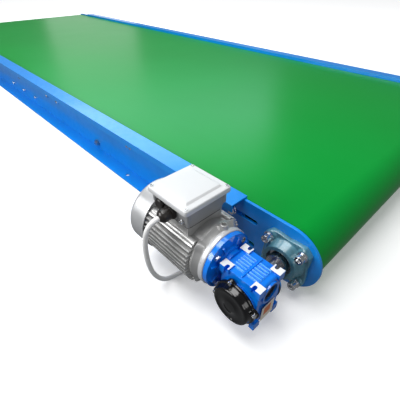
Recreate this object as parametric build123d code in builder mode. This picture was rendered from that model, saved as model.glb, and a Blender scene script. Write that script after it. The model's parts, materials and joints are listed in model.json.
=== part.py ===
"""Belt conveyor section: a slider-bed belt between two side channels, driven by
a worm gearmotor hung on the drive shaft.

Frame: X runs along the conveyor towards the drive end, Y across it with the
gearmotor on the -Y side, Z up.  The origin is midway between the four leg bolts,
on the plane that the channels stand on.  Lengths are in millimetres.
"""
import math
import os

from build123d import *

os.makedirs("parts", exist_ok=True)

# ---- driving dimensions -----------------------------------------------------
SECTION_LENGTH = 3000      # over the rounded end plates
INNER_WIDTH = 1010         # between the channel webs
BELT_WIDTH = 1000
BELT_THICKNESS = 2
DRUM_R = 59                # both drums
AXIS_Z = 72                # drum axis above the base
FIT_GAP = 0.3              # air between faces that pass each other

CHANNEL_HEIGHT = 145
CHANNEL_FLANGE = 45
CHANNEL_LIP = 17
SHEET = 3                  # channel and cross member sheet
CHANNEL_END = 110          # from the drum axis back to the channel's end

PLATE_T = 6
PLATE_R = 68               # rounded nose, about the drum axis
PLATE_TAIL = 212           # from the drum axis to the plate's square end
SLOT_Z = 30                # slots above and below the axis
SLOT_W = 10.6
SLOTS = ((-107, 70), (-179.5, 47))        # centre and length, from the axis
PLATE_BOLT_X = (-136, -182)               # bolts in the web, from the axis
TAKE_UP = 20                              # how far the tail plates slide inwards
TORQUE_Z = -57                            # torque arm bolt below the drum axis

LEG_SPACING_X = 1800
LEG_BOLT_Y = 530
LEG_HOLE_R = 5.5

SHAFT_R = 12.5
BEARING_SIDE = 95          # square flange bearing, 25 mm shaft
BEARING_PITCH = 70
BEARING_FLANGE = 14
BEARING_HEIGHT = 27

ROLLER_R = 20
ROLLER_Z = 24
SNUB_X = 1172
RETURN_X = 690
ROLLER_X = (-SNUB_X, -RETURN_X, RETURN_X, SNUB_X)
AXLE_R = 6

CROSS_X = (-900, 0, 900)
CROSS_HEIGHT = 56
CROSS_DEPTH = 40
TAB_BOLT_X = 8.5

# gearmotor: worm gearbox, centre distance 31.5, on the drive axis
CENTRE_DISTANCE = 31.5
GEAR_W = 80
GEAR_DEPTH = 57
GEAR_BOTTOM = -40
GEAR_TOP = 57
GEAR_PAD = 3
GEAR_OFFSET = 109          # gearbox middle from the end plate's face
FLANGE_R = 52.5
FLANGE_X = -57             # face between gearbox and motor, from the axis
SHIELD_BACK = -84
FIN_END = -204
MOTOR_END = -247
MOTOR_R = 66
COWL_R = 69
BOX_X = -141               # terminal box middle, from the axis
BOX_BASE = 95.5            # above the drum axis
BOX_HEIGHT = 34
LID_X = 98
LID_Y = 102
LID_T = 10

CABLE_D = 9
COIL_R = 44.5              # middle of the turns

# ---- derived places -----------------------------------------------------------
DRIVE_X = SECTION_LENGTH / 2 - PLATE_R
WEB_IN = INNER_WIDTH / 2
WEB_OUT = WEB_IN + SHEET
PLATE_FACE = WEB_OUT + PLATE_T
CHANNEL_LENGTH = 2 * (DRIVE_X - CHANNEL_END)
BED_TOP = AXIS_Z + DRUM_R
BELT_IN_R = DRUM_R + FIT_GAP
BELT_OUT_R = BELT_IN_R + BELT_THICKNESS
GEAR_Y = -PLATE_FACE - GEAR_OFFSET
WORM_Z = AXIS_Z + CENTRE_DISTANCE
NEAR, FAR = -1, 1
DRIVE, TAIL = 1, -1
ENDS = ((DRIVE, "drive"), (TAIL, "tail"))
SIDES = ((NEAR, "near"), (FAR, "far"))


def save(part, name):
    part.label = name
    export_step(part, f"parts/{name}.step")


def side_plane(side, distance):
    """Plane facing outwards on one side, X along the conveyor, Y of the plane up."""
    if side == NEAR:
        return Plane(origin=(0, -distance, 0), x_dir=(1, 0, 0), z_dir=(0, -1, 0))
    return Plane(origin=(0, distance, 0), x_dir=(-1, 0, 0), z_dir=(0, 1, 0))


def along(side, x):
    """X of the conveyor as the first coordinate of a side_plane."""
    return x if side == NEAR else -x


def end_x(end, offset):
    """Place measured from a drum axis, towards the outside where positive."""
    return end * (DRIVE_X + offset)


# ---- frame ------------------------------------------------------------------------
def web_bolt_places():
    """Bolts through each web besides the end plates': cross members, leg brackets."""
    cross = [(x + dx, BED_TOP - 40) for x in CROSS_X for dx in (-TAB_BOLT_X, TAB_BOLT_X)]
    legs = [(x, 34) for x in (-140, 4, 140)]
    bracket = [(x, 86) for x in (310, 405)]
    return cross + legs + bracket


def side_channel(side):
    out = CHANNEL_FLANGE
    top = CHANNEL_HEIGHT
    outline = [(0, 0), (out, 0), (out, SHEET), (SHEET, SHEET), (SHEET, top - SHEET),
               (out - SHEET, top - SHEET), (out - SHEET, top - CHANNEL_LIP),
               (out, top - CHANNEL_LIP), (out, top), (0, top)]
    section = Plane(origin=(-CHANNEL_LENGTH / 2, side * WEB_IN, 0),
                    x_dir=(0, side, 0), z_dir=(side, 0, 0))
    with BuildPart() as channel:
        with BuildSketch(section) as profile:
            with BuildLine():
                Polyline(*outline, close=True)
            make_face()
            corners = profile.vertices()
            bends = corners.filter_by_position(Axis.Z, top - 0.1, top + 0.1)
            fillet(bends, radius=4)
            fillet(profile.vertices().filter_by(
                lambda v: v.Z < 0.1 and abs(abs(v.Y) - WEB_IN) < 0.1), radius=4)
        extrude(amount=side * CHANNEL_LENGTH)
        face = side_plane(side, WEB_OUT)
        plate_holes = [(along(side, end_x(end, dx)), AXIS_Z + dz) for end, _ in ENDS
                       for dx in PLATE_BOLT_X for dz in (-SLOT_Z, SLOT_Z)]
        axle_holes = [(along(side, x), ROLLER_Z) for x in ROLLER_X]
        bolts = [(along(side, x), z) for x, z in web_bolt_places()]
        with BuildSketch(face):
            with Locations(*plate_holes):
                Circle(5.3)
            with Locations(*bolts):
                Circle(4.3)
            with Locations(*axle_holes):
                Circle(AXLE_R + 0.2)
        extrude(amount=-SHEET, mode=Mode.SUBTRACT)
        with BuildSketch(Plane.XY):
            with Locations(*[(x * LEG_SPACING_X / 2, side * LEG_BOLT_Y) for x in (-1, 1)]):
                Circle(LEG_HOLE_R)
        extrude(amount=SHEET, mode=Mode.SUBTRACT)
    return channel.part


for side, side_name in SIDES:
    save(side_channel(side), f"side_channel_{side_name}")


def cross_member(x):
    """Channel across the frame, open downwards, with a bent tab at each end."""
    top = BED_TOP - 2
    with BuildPart() as member:
        with Locations((x, 0, top - CROSS_HEIGHT / 2)):
            Box(CROSS_DEPTH, INNER_WIDTH, CROSS_HEIGHT)
        with Locations((x, 0, top - CROSS_HEIGHT / 2 - SHEET)):
            Box(CROSS_DEPTH - 2 * SHEET, INNER_WIDTH - 2 * SHEET, CROSS_HEIGHT,
                mode=Mode.SUBTRACT)
        tab_holes = [(x + dx, BED_TOP - 40) for dx in (-TAB_BOLT_X, TAB_BOLT_X)]
        with BuildSketch(Plane.XZ.offset(-INNER_WIDTH / 2)):
            with Locations(*tab_holes):
                Circle(4.3)
        extrude(amount=INNER_WIDTH, mode=Mode.SUBTRACT)
    return member.part


for number, x in enumerate(CROSS_X, start=1):
    save(cross_member(x), f"cross_member_{number}")

BED_LENGTH = 2 * (DRIVE_X - 52 - TAKE_UP)
BED_WIDTH = 1004
BED_SHEET = 2
with BuildPart() as slider_bed:
    with Locations((0, 0, BED_TOP - BED_SHEET / 2)):
        Box(BED_LENGTH, BED_WIDTH, BED_SHEET)
    for side, _ in SIDES:
        with Locations((0, side * (BED_WIDTH - BED_SHEET) / 2, BED_TOP - 8)):
            for start, stop in zip((-BED_LENGTH / 2,) + tuple(x + 24 for x in CROSS_X),
                                   tuple(x - 24 for x in CROSS_X) + (BED_LENGTH / 2,)):
                with Locations(((start + stop) / 2, 0, 0)):
                    Box(stop - start, BED_SHEET, 16)
    for end, _ in ENDS:
        with Locations((end * (BED_LENGTH - BED_SHEET) / 2, 0, BED_TOP - 10)):
            Box(BED_SHEET, BED_WIDTH - 10, 20)
save(slider_bed.part, "slider_bed")


# ---- end plates, bolts and flange bearings ----------------------------------------
def end_plate(end, side, torque_bolt):
    face = side_plane(side, WEB_OUT)
    axis = along(side, end_x(end, 0))
    outwards = along(side, end)
    with BuildPart() as plate:
        with BuildSketch(face):
            with Locations((axis, AXIS_Z)):
                Circle(PLATE_R)
            with Locations((axis - outwards * PLATE_TAIL / 2, AXIS_Z)):
                Rectangle(PLATE_TAIL, 2 * PLATE_R)
            with Locations((axis, AXIS_Z)):
                Circle(21, mode=Mode.SUBTRACT)
                with GridLocations(BEARING_PITCH, BEARING_PITCH, 2, 2):
                    Circle(5.2, mode=Mode.SUBTRACT)
            for centre, length in SLOTS:
                with Locations((axis + outwards * centre, AXIS_Z + SLOT_Z),
                               (axis + outwards * centre, AXIS_Z - SLOT_Z)):
                    SlotOverall(length, SLOT_W, mode=Mode.SUBTRACT)
            if torque_bolt:
                with Locations((axis, AXIS_Z + TORQUE_Z)):
                    Circle(4.2, mode=Mode.SUBTRACT)
        extrude(amount=PLATE_T)
        rim = plate.faces().sort_by(Axis.Y)[0 if side == NEAR else -1]
        chamfer(rim.outer_wire().edges(), length=0.6)
    return plate.part



def hex_head(plane, places, shank_r, grip, across, head, nut):
    """Hex bolts with washers on the plane's outer side and nuts behind the grip."""
    washer_t = 1.6
    with BuildPart() as bolts:
        with BuildSketch(plane.offset(washer_t)):
            with Locations(*places):
                RegularPolygon(across / 2, 6, major_radius=False)
        extrude(amount=head)
        chamfer(bolts.faces().filter_by(lambda f: abs(f.normal_at().dot(
            plane.z_dir)) > 0.99).group_by(Axis.Y)[0 if plane.z_dir.Y < 0 else -1].edges(),
            length=0.5)
        with BuildSketch(plane):
            with Locations(*places):
                Circle(across * 0.62)
        extrude(amount=washer_t)
        with BuildSketch(plane):
            with Locations(*places):
                Circle(shank_r)
        extrude(amount=-grip)
        with BuildSketch(plane.offset(-grip)):
            with Locations(*places):
                RegularPolygon(across / 2, 6, major_radius=False)
        extrude(amount=-nut)
    return bolts.part


def socket_bolts(plane, places):
    """M10 socket head bolts with plain and spring washers."""
    with BuildPart() as bolts:
        with BuildSketch(plane):
            with Locations(*places):
                Circle(10)
        extrude(amount=2)
        with BuildSketch(plane.offset(2)):
            with Locations(*places):
                Circle(8.6)
        extrude(amount=2.2)
        with BuildSketch(plane.offset(4.2)):
            with Locations(*places):
                Circle(8)
        extrude(amount=10)
        tops = bolts.faces().filter_by(GeomType.PLANE).group_by(Axis.Y)
        chamfer(tops[0 if plane.z_dir.Y < 0 else -1].edges(), length=0.8)
        with BuildSketch(plane.offset(14.2)):
            with Locations(*places):
                RegularPolygon(4, 6, major_radius=False)
        extrude(amount=-5.5, mode=Mode.SUBTRACT)
        with BuildSketch(plane):
            with Locations(*places):
                Circle(5)
        extrude(amount=-(BEARING_FLANGE + PLATE_T + 12))
        with BuildSketch(plane.offset(-(BEARING_FLANGE + PLATE_T))):
            with Locations(*places):
                RegularPolygon(8.5, 6, major_radius=False)
        extrude(amount=-8)
    return bolts.part


def bearing_housing(end, side):
    """Square cast flange with a raised round hub, two ribs and four bolt bosses."""
    face = side_plane(side, PLATE_FACE)
    centre = (along(side, end_x(end, 0)), AXIS_Z)
    half = BEARING_PITCH / 2
    with BuildPart() as housing:
        with BuildSketch(face) as base:
            with Locations(centre):
                Rectangle(BEARING_SIDE, BEARING_SIDE)
            fillet(base.vertices(), radius=12.5)
        extrude(amount=BEARING_FLANGE - 5, taper=4)
        with BuildSketch(face):
            with Locations(centre):
                with GridLocations(BEARING_PITCH, BEARING_PITCH, 2, 2):
                    Circle(11.5)
        extrude(amount=BEARING_FLANGE)
        with BuildSketch(face):
            for turn in (45, -45):
                with Locations(Location((centre[0], centre[1], 0), (0, 0, turn))):
                    Rectangle(2.35 * half, 9)
        extrude(amount=BEARING_FLANGE - 1)
        with BuildSketch(face):
            with Locations(centre):
                Circle(36)
        extrude(amount=BEARING_HEIGHT, taper=9)
        with BuildSketch(face):
            with Locations(centre):
                Circle(26)
                with GridLocations(BEARING_PITCH, BEARING_PITCH, 2, 2):
                    Circle(5.5)
        extrude(amount=BEARING_HEIGHT, mode=Mode.SUBTRACT)
    return housing.part


def rings(end, outer, inner, start, length):
    """One ring on each side of a drum, coaxial with it."""
    with BuildPart() as pair:
        for side, _ in SIDES:
            face = side_plane(side, PLATE_FACE + start)
            with BuildSketch(face):
                with Locations((along(side, end_x(end, 0)), AXIS_Z)):
                    Circle(outer)
                    Circle(inner, mode=Mode.SUBTRACT)
            extrude(amount=length)
    return pair.part


def both_sides(make):
    """The same fasteners on the near and the far side, as one group of solids."""
    return Compound(children=[solid for side, _ in SIDES for solid in make(side).solids()])


for end, end_name in ENDS:
    for side, side_name in SIDES:
        has_arm = end == DRIVE and side == NEAR
        save(end_plate(end, side, has_arm), f"{end_name}_plate_{side_name}")
        save(bearing_housing(end, side), f"{end_name}_bearing_{side_name}")
    save(rings(end, 25.98, 21, 3, 17), f"{end_name}_bearing_rings")
    save(rings(end, 20.7, SHAFT_R + 0.03, 2, 32), f"{end_name}_bearing_collars")
    bearing_places = [(end_x(end, 0) + dx, AXIS_Z + dz) for dx in (-35, 35) for dz in (-35, 35)]
    save(both_sides(lambda side: socket_bolts(
        side_plane(side, PLATE_FACE + BEARING_FLANGE),
        [(along(side, x), z) for x, z in bearing_places])), f"{end_name}_bearing_bolts")
    plate_places = [(end_x(end, dx), AXIS_Z + dz) for dx in PLATE_BOLT_X
                    for dz in (-SLOT_Z, SLOT_Z)]
    save(both_sides(lambda side: hex_head(
        side_plane(side, PLATE_FACE), [(along(side, x), z) for x, z in plate_places],
        5, PLATE_T + SHEET, 17, 6.4, 4.4)), f"{end_name}_plate_bolts")

save(both_sides(lambda side: hex_head(
    side_plane(side, WEB_OUT), [(along(side, x), z) for x, z in web_bolt_places()],
    4, 2 * SHEET, 13, 5.3, 6.5)), "web_bolts")


# ---- drums, shafts and rollers --------------------------------------------------------
def drum(end):
    """Tube with two welded end discs."""
    length = BELT_WIDTH - 10
    with BuildPart() as shell:
        with BuildSketch(Plane.XZ.offset(-length / 2)):
            with Locations((end_x(end, 0), AXIS_Z)):
                Circle(DRUM_R)
                Circle(DRUM_R - 4, mode=Mode.SUBTRACT)
        extrude(amount=length)
        for side, _ in SIDES:
            with BuildSketch(Plane.XZ.offset(-side * (length / 2 - 12))):
                with Locations((end_x(end, 0), AXIS_Z)):
                    Circle(DRUM_R - 4)
                    Circle(SHAFT_R + 0.03, mode=Mode.SUBTRACT)
            extrude(amount=4, both=True)
    return shell.part


SHAFT_END = PLATE_FACE + 38
HOLLOW_SHAFT_R = 7          # 14 mm output bore of the gearbox
with BuildPart() as drive_shaft:
    with BuildSketch(Plane.XZ.offset(-SHAFT_END)):
        with Locations((DRIVE_X, AXIS_Z)):
            Circle(SHAFT_R)
    extrude(amount=2 * SHAFT_END + 20)
    with BuildSketch(Plane.XZ.offset(SHAFT_END + 20)):
        with Locations((DRIVE_X, AXIS_Z)):
            Circle(HOLLOW_SHAFT_R)
    extrude(amount=-GEAR_Y + 30 - SHAFT_END - 20)
    chamfer(drive_shaft.edges().filter_by(GeomType.CIRCLE).group_by(Axis.Y)[0], length=1)
save(drive_shaft.part, "drive_shaft")

with BuildPart() as tail_shaft:
    with BuildSketch(Plane.XZ.offset(-SHAFT_END)):
        with Locations((-DRIVE_X, AXIS_Z)):
            Circle(SHAFT_R)
    extrude(amount=2 * SHAFT_END)
    chamfer(tail_shaft.edges().filter_by(GeomType.CIRCLE), length=1)
save(tail_shaft.part, "tail_shaft")

for end, end_name in ENDS:
    save(drum(end), f"{end_name}_drum")


def return_roller(x):
    """Thin tube closed by two end hubs that turn on the fixed axle."""
    length = BELT_WIDTH - 6
    with BuildPart() as roller:
        with BuildSketch(Plane.XZ.offset(-length / 2)):
            with Locations((x, ROLLER_Z)):
                Circle(ROLLER_R)
                Circle(ROLLER_R - 2, mode=Mode.SUBTRACT)
        extrude(amount=length)
        for side, _ in SIDES:
            with BuildSketch(Plane.XZ.offset(-side * (length / 2 - 8))):
                with Locations((x, ROLLER_Z)):
                    Circle(ROLLER_R - 2)
                    Circle(AXLE_R + 0.05, mode=Mode.SUBTRACT)
            extrude(amount=7, both=True)
    return roller.part


for number, x in enumerate(ROLLER_X, start=1):
    save(return_roller(x), f"return_roller_{number}")

AXLE_END = WEB_OUT + 12
with BuildPart() as roller_axles:
    with BuildSketch(Plane.XZ.offset(-AXLE_END)):
        with Locations(*[(x, ROLLER_Z) for x in ROLLER_X]):
            Circle(AXLE_R)
    extrude(amount=2 * AXLE_END)
    for side, _ in SIDES:
        with BuildSketch(side_plane(side, WEB_OUT)):
            with Locations(*[(along(side, x), ROLLER_Z) for x in ROLLER_X]):
                RegularPolygon(9, 6, major_radius=False)
        extrude(amount=8)
save(roller_axles.part, "roller_axles")


# ---- belt -------------------------------------------------------------------------------
def belt_outline(drum_r, roller_r):
    """Closed loop round both drums and over the snub rollers.

    On the drive side the loop leaves the drum along the line that passes between
    drum and roller: its normal n makes n.(roller - drum) = drum_r + roller_r.
    """
    to_roller = Vector(SNUB_X - DRIVE_X, ROLLER_Z - AXIS_Z)
    reach = math.hypot(to_roller.X, to_roller.Y)
    heading = math.atan2(to_roller.Y, to_roller.X)
    normal = heading + math.acos((drum_r + roller_r) / reach)
    n = (math.cos(normal), math.sin(normal))
    top = AXIS_Z + drum_r
    leave = (DRIVE_X + drum_r * n[0], AXIS_Z + drum_r * n[1])
    meet = (SNUB_X - roller_r * n[0], ROLLER_Z - roller_r * n[1])
    flat = ROLLER_Z + roller_r
    mid_angle = (math.pi / 2 + normal + math.pi) / 2
    over = (SNUB_X + roller_r * math.cos(mid_angle), ROLLER_Z + roller_r * math.sin(mid_angle))
    Line((-DRIVE_X, top), (DRIVE_X, top))
    ThreePointArc((DRIVE_X, top), (DRIVE_X + drum_r, AXIS_Z), leave)
    Line(leave, meet)
    ThreePointArc(meet, over, (SNUB_X, flat))
    Line((SNUB_X, flat), (-SNUB_X, flat))
    ThreePointArc((-SNUB_X, flat), (-over[0], over[1]), (-meet[0], meet[1]))
    Line((-meet[0], meet[1]), (-leave[0], leave[1]))
    ThreePointArc((-leave[0], leave[1]), (-DRIVE_X - drum_r, AXIS_Z), (-DRIVE_X, top))


with BuildPart() as conveyor_belt:
    with BuildSketch(Plane.XZ.offset(-BELT_WIDTH / 2)):
        with BuildLine():
            belt_outline(BELT_OUT_R, ROLLER_R + FIT_GAP)
        make_face()
        with BuildLine():
            belt_outline(BELT_IN_R, ROLLER_R + FIT_GAP + BELT_THICKNESS)
        make_face(mode=Mode.SUBTRACT)
    extrude(amount=BELT_WIDTH)
save(conveyor_belt.part, "conveyor_belt")


# ---- gearbox ------------------------------------------------------------------------------
def motor_point(x=0.0, y=0.0, z=0.0):
    """Point given from the drive axis and the gearbox middle."""
    return (DRIVE_X + x, GEAR_Y + y, AXIS_Z + z)


def across_axis(y):
    """Plane square to the drive axis, facing -Y, its origin on that axis."""
    return Plane(origin=motor_point(y=y), x_dir=(1, 0, 0), z_dir=(0, -1, 0))


def across_worm(x):
    """Plane square to the worm axis, facing +X, its origin on the worm axis."""
    return Plane(origin=motor_point(x=x, z=CENTRE_DISTANCE), x_dir=(0, 1, 0), z_dir=(1, 0, 0))


def level(z):
    """Horizontal plane above the drive axis, its origin over the gearbox middle."""
    return Plane(origin=motor_point(z=z))


WHEEL_CAVITY_R = 27
COVER_BOLT_R = 32.5
GEAR_H = GEAR_TOP - GEAR_BOTTOM
GEAR_MID_Z = (GEAR_TOP + GEAR_BOTTOM) / 2
PAD_X, PAD_Y = 19, 15
PAD_SLOT = 6.5
NECK_R = 31
with BuildPart() as gearbox_housing:
    with Locations(motor_point(z=GEAR_MID_Z)):
        Box(GEAR_W - 6, GEAR_DEPTH, GEAR_H - 2 * GEAR_PAD)
    fillet(gearbox_housing.edges().filter_by(Axis.Y), radius=5)
    for z, out in ((GEAR_TOP, -1), (GEAR_BOTTOM, 1)):
        with BuildSketch(level(z)):
            with GridLocations(GEAR_W - PAD_X, GEAR_DEPTH + 2 * GEAR_PAD - PAD_Y, 2, 2):
                Rectangle(PAD_X, PAD_Y)
        extrude(amount=out * 11)
    for turn in (1, -1):
        with BuildSketch(across_worm(turn * GEAR_W / 2)):
            with Locations((0, GEAR_MID_Z - CENTRE_DISTANCE)):
                with GridLocations(GEAR_DEPTH + 2 * GEAR_PAD - 12, GEAR_H - 16, 2, 2):
                    Rectangle(12, 16)
        extrude(amount=-turn * 9)
    for z, out in ((GEAR_TOP - GEAR_PAD, 1), (GEAR_BOTTOM + GEAR_PAD, -1)):
        with BuildSketch(level(z)):
            for x in (-14, 14):
                with Locations((x, 0)):
                    with GridLocations(20, 6.2, 1, 6):
                        Rectangle(22, 2.2)
            Rectangle(3, GEAR_DEPTH - 6)
        extrude(amount=out * 2.2)
    with BuildSketch(across_axis(-GEAR_DEPTH / 2)):
        Circle(37)
    extrude(amount=GEAR_PAD)
    with BuildSketch(across_axis(GEAR_DEPTH / 2)):
        Circle(37)
    extrude(amount=-GEAR_PAD)
    with BuildSketch(across_worm(-GEAR_W / 2 + 4)):
        Circle(NECK_R - 5)
    extrude(amount=-7)
    with BuildSketch(across_worm(GEAR_W / 2 - 4)):
        Circle(20)
    extrude(amount=4)
    for side in (-1, 1):
        with BuildSketch(level(GEAR_TOP)):
            with Locations(*[(x, side * (GEAR_DEPTH / 2 + GEAR_PAD - 2)) for x in (-27, 27)]):
                Rectangle(PAD_SLOT, 13)
        extrude(amount=-11, mode=Mode.SUBTRACT)
        with BuildSketch(level(GEAR_BOTTOM)):
            with Locations(*[(x, side * (GEAR_DEPTH / 2 + GEAR_PAD - 2)) for x in (-27, 27)]):
                Rectangle(PAD_SLOT, 13)
        extrude(amount=11, mode=Mode.SUBTRACT)
    with BuildSketch(across_axis(GEAR_DEPTH / 2 + GEAR_PAD)):
        Circle(WHEEL_CAVITY_R)
    extrude(amount=GEAR_DEPTH + 2 * GEAR_PAD, mode=Mode.SUBTRACT)
    with BuildSketch(across_worm(-GEAR_W / 2 - 4)):
        Circle(16.1)
    extrude(amount=GEAR_W + 8, mode=Mode.SUBTRACT)
    with BuildSketch(across_axis(GEAR_DEPTH / 2 + GEAR_PAD)):
        with PolarLocations(COVER_BOLT_R, 4, start_angle=0):
            Circle(2.6)
    extrude(amount=9, mode=Mode.SUBTRACT)
    with BuildSketch(across_axis(-GEAR_DEPTH / 2 - GEAR_PAD)):
        with PolarLocations(COVER_BOLT_R, 4, start_angle=0):
            Circle(2.6)
    extrude(amount=-9, mode=Mode.SUBTRACT)
save(gearbox_housing.part, "gearbox_housing")

with BuildPart() as gearbox_input_flange:
    with BuildSketch(across_worm(FLANGE_X)):
        Circle(FLANGE_R)
    extrude(amount=9)
    with BuildSketch(across_worm(FLANGE_X + 9)):
        Circle(NECK_R)
    extrude(amount=-FLANGE_X - 9 - GEAR_W / 2 - 3)
    for turn in range(8):
        with BuildSketch(across_worm(FLANGE_X + 9)):
            with Locations(Location((0, 0, 0), (0, 0, 45 * turn + 22.5))):
                with Locations((36, 0)):
                    Rectangle(22, 3)
        extrude(amount=4)
    with BuildSketch(across_worm(FLANGE_X)):
        Circle(16.1)
        with PolarLocations(42.5, 4, start_angle=45):
            Circle(3.2)
    extrude(amount=30, mode=Mode.SUBTRACT)
save(gearbox_input_flange.part, "gearbox_input_flange")

COVER_FACE = GEAR_DEPTH / 2 + GEAR_PAD
COVER_R = 40
COVER_DEPTH = 17
COVER_LUG_R = 42
with BuildPart() as output_cover:
    with BuildSketch(across_axis(-COVER_FACE)):
        Circle(COVER_R)
        with PolarLocations(COVER_LUG_R, 4, start_angle=15):
            Circle(5)
    extrude(amount=5)
    with BuildSketch(across_axis(-COVER_FACE - 5)):
        Circle(38)
    extrude(amount=COVER_DEPTH - 5, taper=8)
    fillet(output_cover.faces().sort_by(Axis.Y)[0].edges(), radius=1.5)
    with BuildSketch(across_axis(-COVER_FACE)):
        Circle(33)
    extrude(amount=COVER_DEPTH - 3, mode=Mode.SUBTRACT)
save(output_cover.part, "output_cover")

with BuildPart() as rear_cover:
    with BuildSketch(across_axis(COVER_FACE)):
        Circle(38)
        Circle(13.2, mode=Mode.SUBTRACT)
    extrude(amount=-4)
    with BuildSketch(across_axis(COVER_FACE + 4)):
        Circle(24)
        Circle(13.2, mode=Mode.SUBTRACT)
    extrude(amount=-8, taper=6)
save(rear_cover.part, "rear_cover")

WORM_R = 10.4
WHEEL_R = CENTRE_DISTANCE - WORM_R - 0.4
WHEEL_TEETH = 30
with BuildPart() as worm_wheel:
    with BuildSketch(across_axis(8)):
        Circle(WHEEL_R)
        with PolarLocations(WHEEL_R, WHEEL_TEETH):
            Rectangle(3, 1.9, mode=Mode.SUBTRACT)
    extrude(amount=16)
    with BuildSketch(across_axis(COVER_FACE - 1)):
        Circle(12.5)
    extrude(amount=2 * COVER_FACE - 2)
    with BuildSketch(across_axis(COVER_FACE)):
        Circle(HOLLOW_SHAFT_R + 0.03)
    extrude(amount=2 * COVER_FACE, mode=Mode.SUBTRACT)
save(worm_wheel.part, "worm_wheel")

WORM_PITCH = 4.5
with BuildPart() as worm_shaft:
    with BuildSketch(across_worm(-52)):
        Circle(8.5)
    extrude(amount=84)
    with BuildSketch(across_worm(-15)):
        Circle(WORM_R)
    extrude(amount=30)
    for turn in range(-3, 4):
        with BuildSketch(across_worm(turn * WORM_PITCH - 1)):
            Circle(WORM_R + 1)
            Circle(WORM_R - 1.8, mode=Mode.SUBTRACT)
        extrude(amount=2, mode=Mode.SUBTRACT)
    with BuildSketch(across_worm(-52)):
        Circle(5.53)
    extrude(amount=30, mode=Mode.SUBTRACT)
save(worm_shaft.part, "worm_shaft")

with BuildPart() as gearbox_bearings:
    for x in (-32, 21):
        with BuildSketch(across_worm(x)):
            Circle(16)
            Circle(8.53, mode=Mode.SUBTRACT)
        extrude(amount=9)
    for y in (22, -14):
        with BuildSketch(across_axis(y)):
            Circle(WHEEL_CAVITY_R - 0.05)
            Circle(12.53, mode=Mode.SUBTRACT)
        extrude(amount=8)
save(gearbox_bearings.part, "gearbox_bearings")

with BuildPart() as worm_end_cap:
    with BuildSketch(across_worm(GEAR_W / 2 - 3)):
        Circle(16)
    extrude(amount=-4)
    with BuildSketch(across_worm(GEAR_W / 2 - 3)):
        Circle(11)
    extrude(amount=-1.5, mode=Mode.SUBTRACT)
save(worm_end_cap.part, "worm_end_cap")

ARM_T = 5
ARM_FACE = COVER_FACE + 4
with BuildPart() as torque_arm:
    with BuildSketch(across_axis(ARM_FACE + ARM_T)):
        Circle(36)
        with Locations((0, TORQUE_Z / 2)):
            Rectangle(24, -TORQUE_Z)
        with Locations((0, TORQUE_Z)):
            Circle(12)
            Circle(7.05, mode=Mode.SUBTRACT)
        Circle(25, mode=Mode.SUBTRACT)
    extrude(amount=ARM_T)
save(torque_arm.part, "torque_arm")

BUSH_LENGTH = GEAR_OFFSET - ARM_FACE
with BuildPart() as torque_arm_bush:
    with BuildSketch(across_axis(GEAR_OFFSET)):
        with Locations((0, TORQUE_Z)):
            Circle(7)
            Circle(4.2, mode=Mode.SUBTRACT)
    extrude(amount=BUSH_LENGTH)
save(torque_arm_bush.part, "torque_arm_bush")

with BuildPart() as torque_arm_bolt:
    with BuildSketch(across_axis(GEAR_OFFSET + PLATE_T + 8)):
        with Locations((0, TORQUE_Z)):
            Circle(4)
    extrude(amount=PLATE_T + 8 + BUSH_LENGTH)
    with BuildSketch(across_axis(GEAR_OFFSET - BUSH_LENGTH)):
        with Locations((0, TORQUE_Z)):
            RegularPolygon(6.5, 6, major_radius=False)
    extrude(amount=5.3)
    with BuildSketch(across_axis(GEAR_OFFSET + PLATE_T + 6.8)):
        with Locations((0, TORQUE_Z)):
            RegularPolygon(6.5, 6, major_radius=False)
    extrude(amount=6.5)
save(torque_arm_bolt.part, "torque_arm_bolt")


# ---- motor -----------------------------------------------------------------------------------
def turned(outline):
    """Solid turned about the worm axis from (x from the drive axis, radius) points."""
    plane = Plane(origin=motor_point(z=CENTRE_DISTANCE), x_dir=(1, 0, 0), z_dir=(0, -1, 0))
    with BuildPart() as solid:
        with BuildSketch(plane):
            with BuildLine():
                Polyline(*outline, close=True)
            make_face()
        revolve(axis=Axis(motor_point(z=CENTRE_DISTANCE), (1, 0, 0)))
    return solid.part


SHIELD_FLANGE_R = 54
BODY_R = 53
BODY_BORE = 44
motor_front_shield = turned([
    (FLANGE_X, 16), (FLANGE_X, SHIELD_FLANGE_R), (FLANGE_X - 9, SHIELD_FLANGE_R),
    (FLANGE_X - 12, 55), (SHIELD_BACK + 6, 63), (SHIELD_BACK, 63), (SHIELD_BACK, BODY_BORE),
    (FLANGE_X - 12, BODY_BORE - 6), (FLANGE_X - 12, 16)])
save(motor_front_shield, "motor_front_shield")

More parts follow.
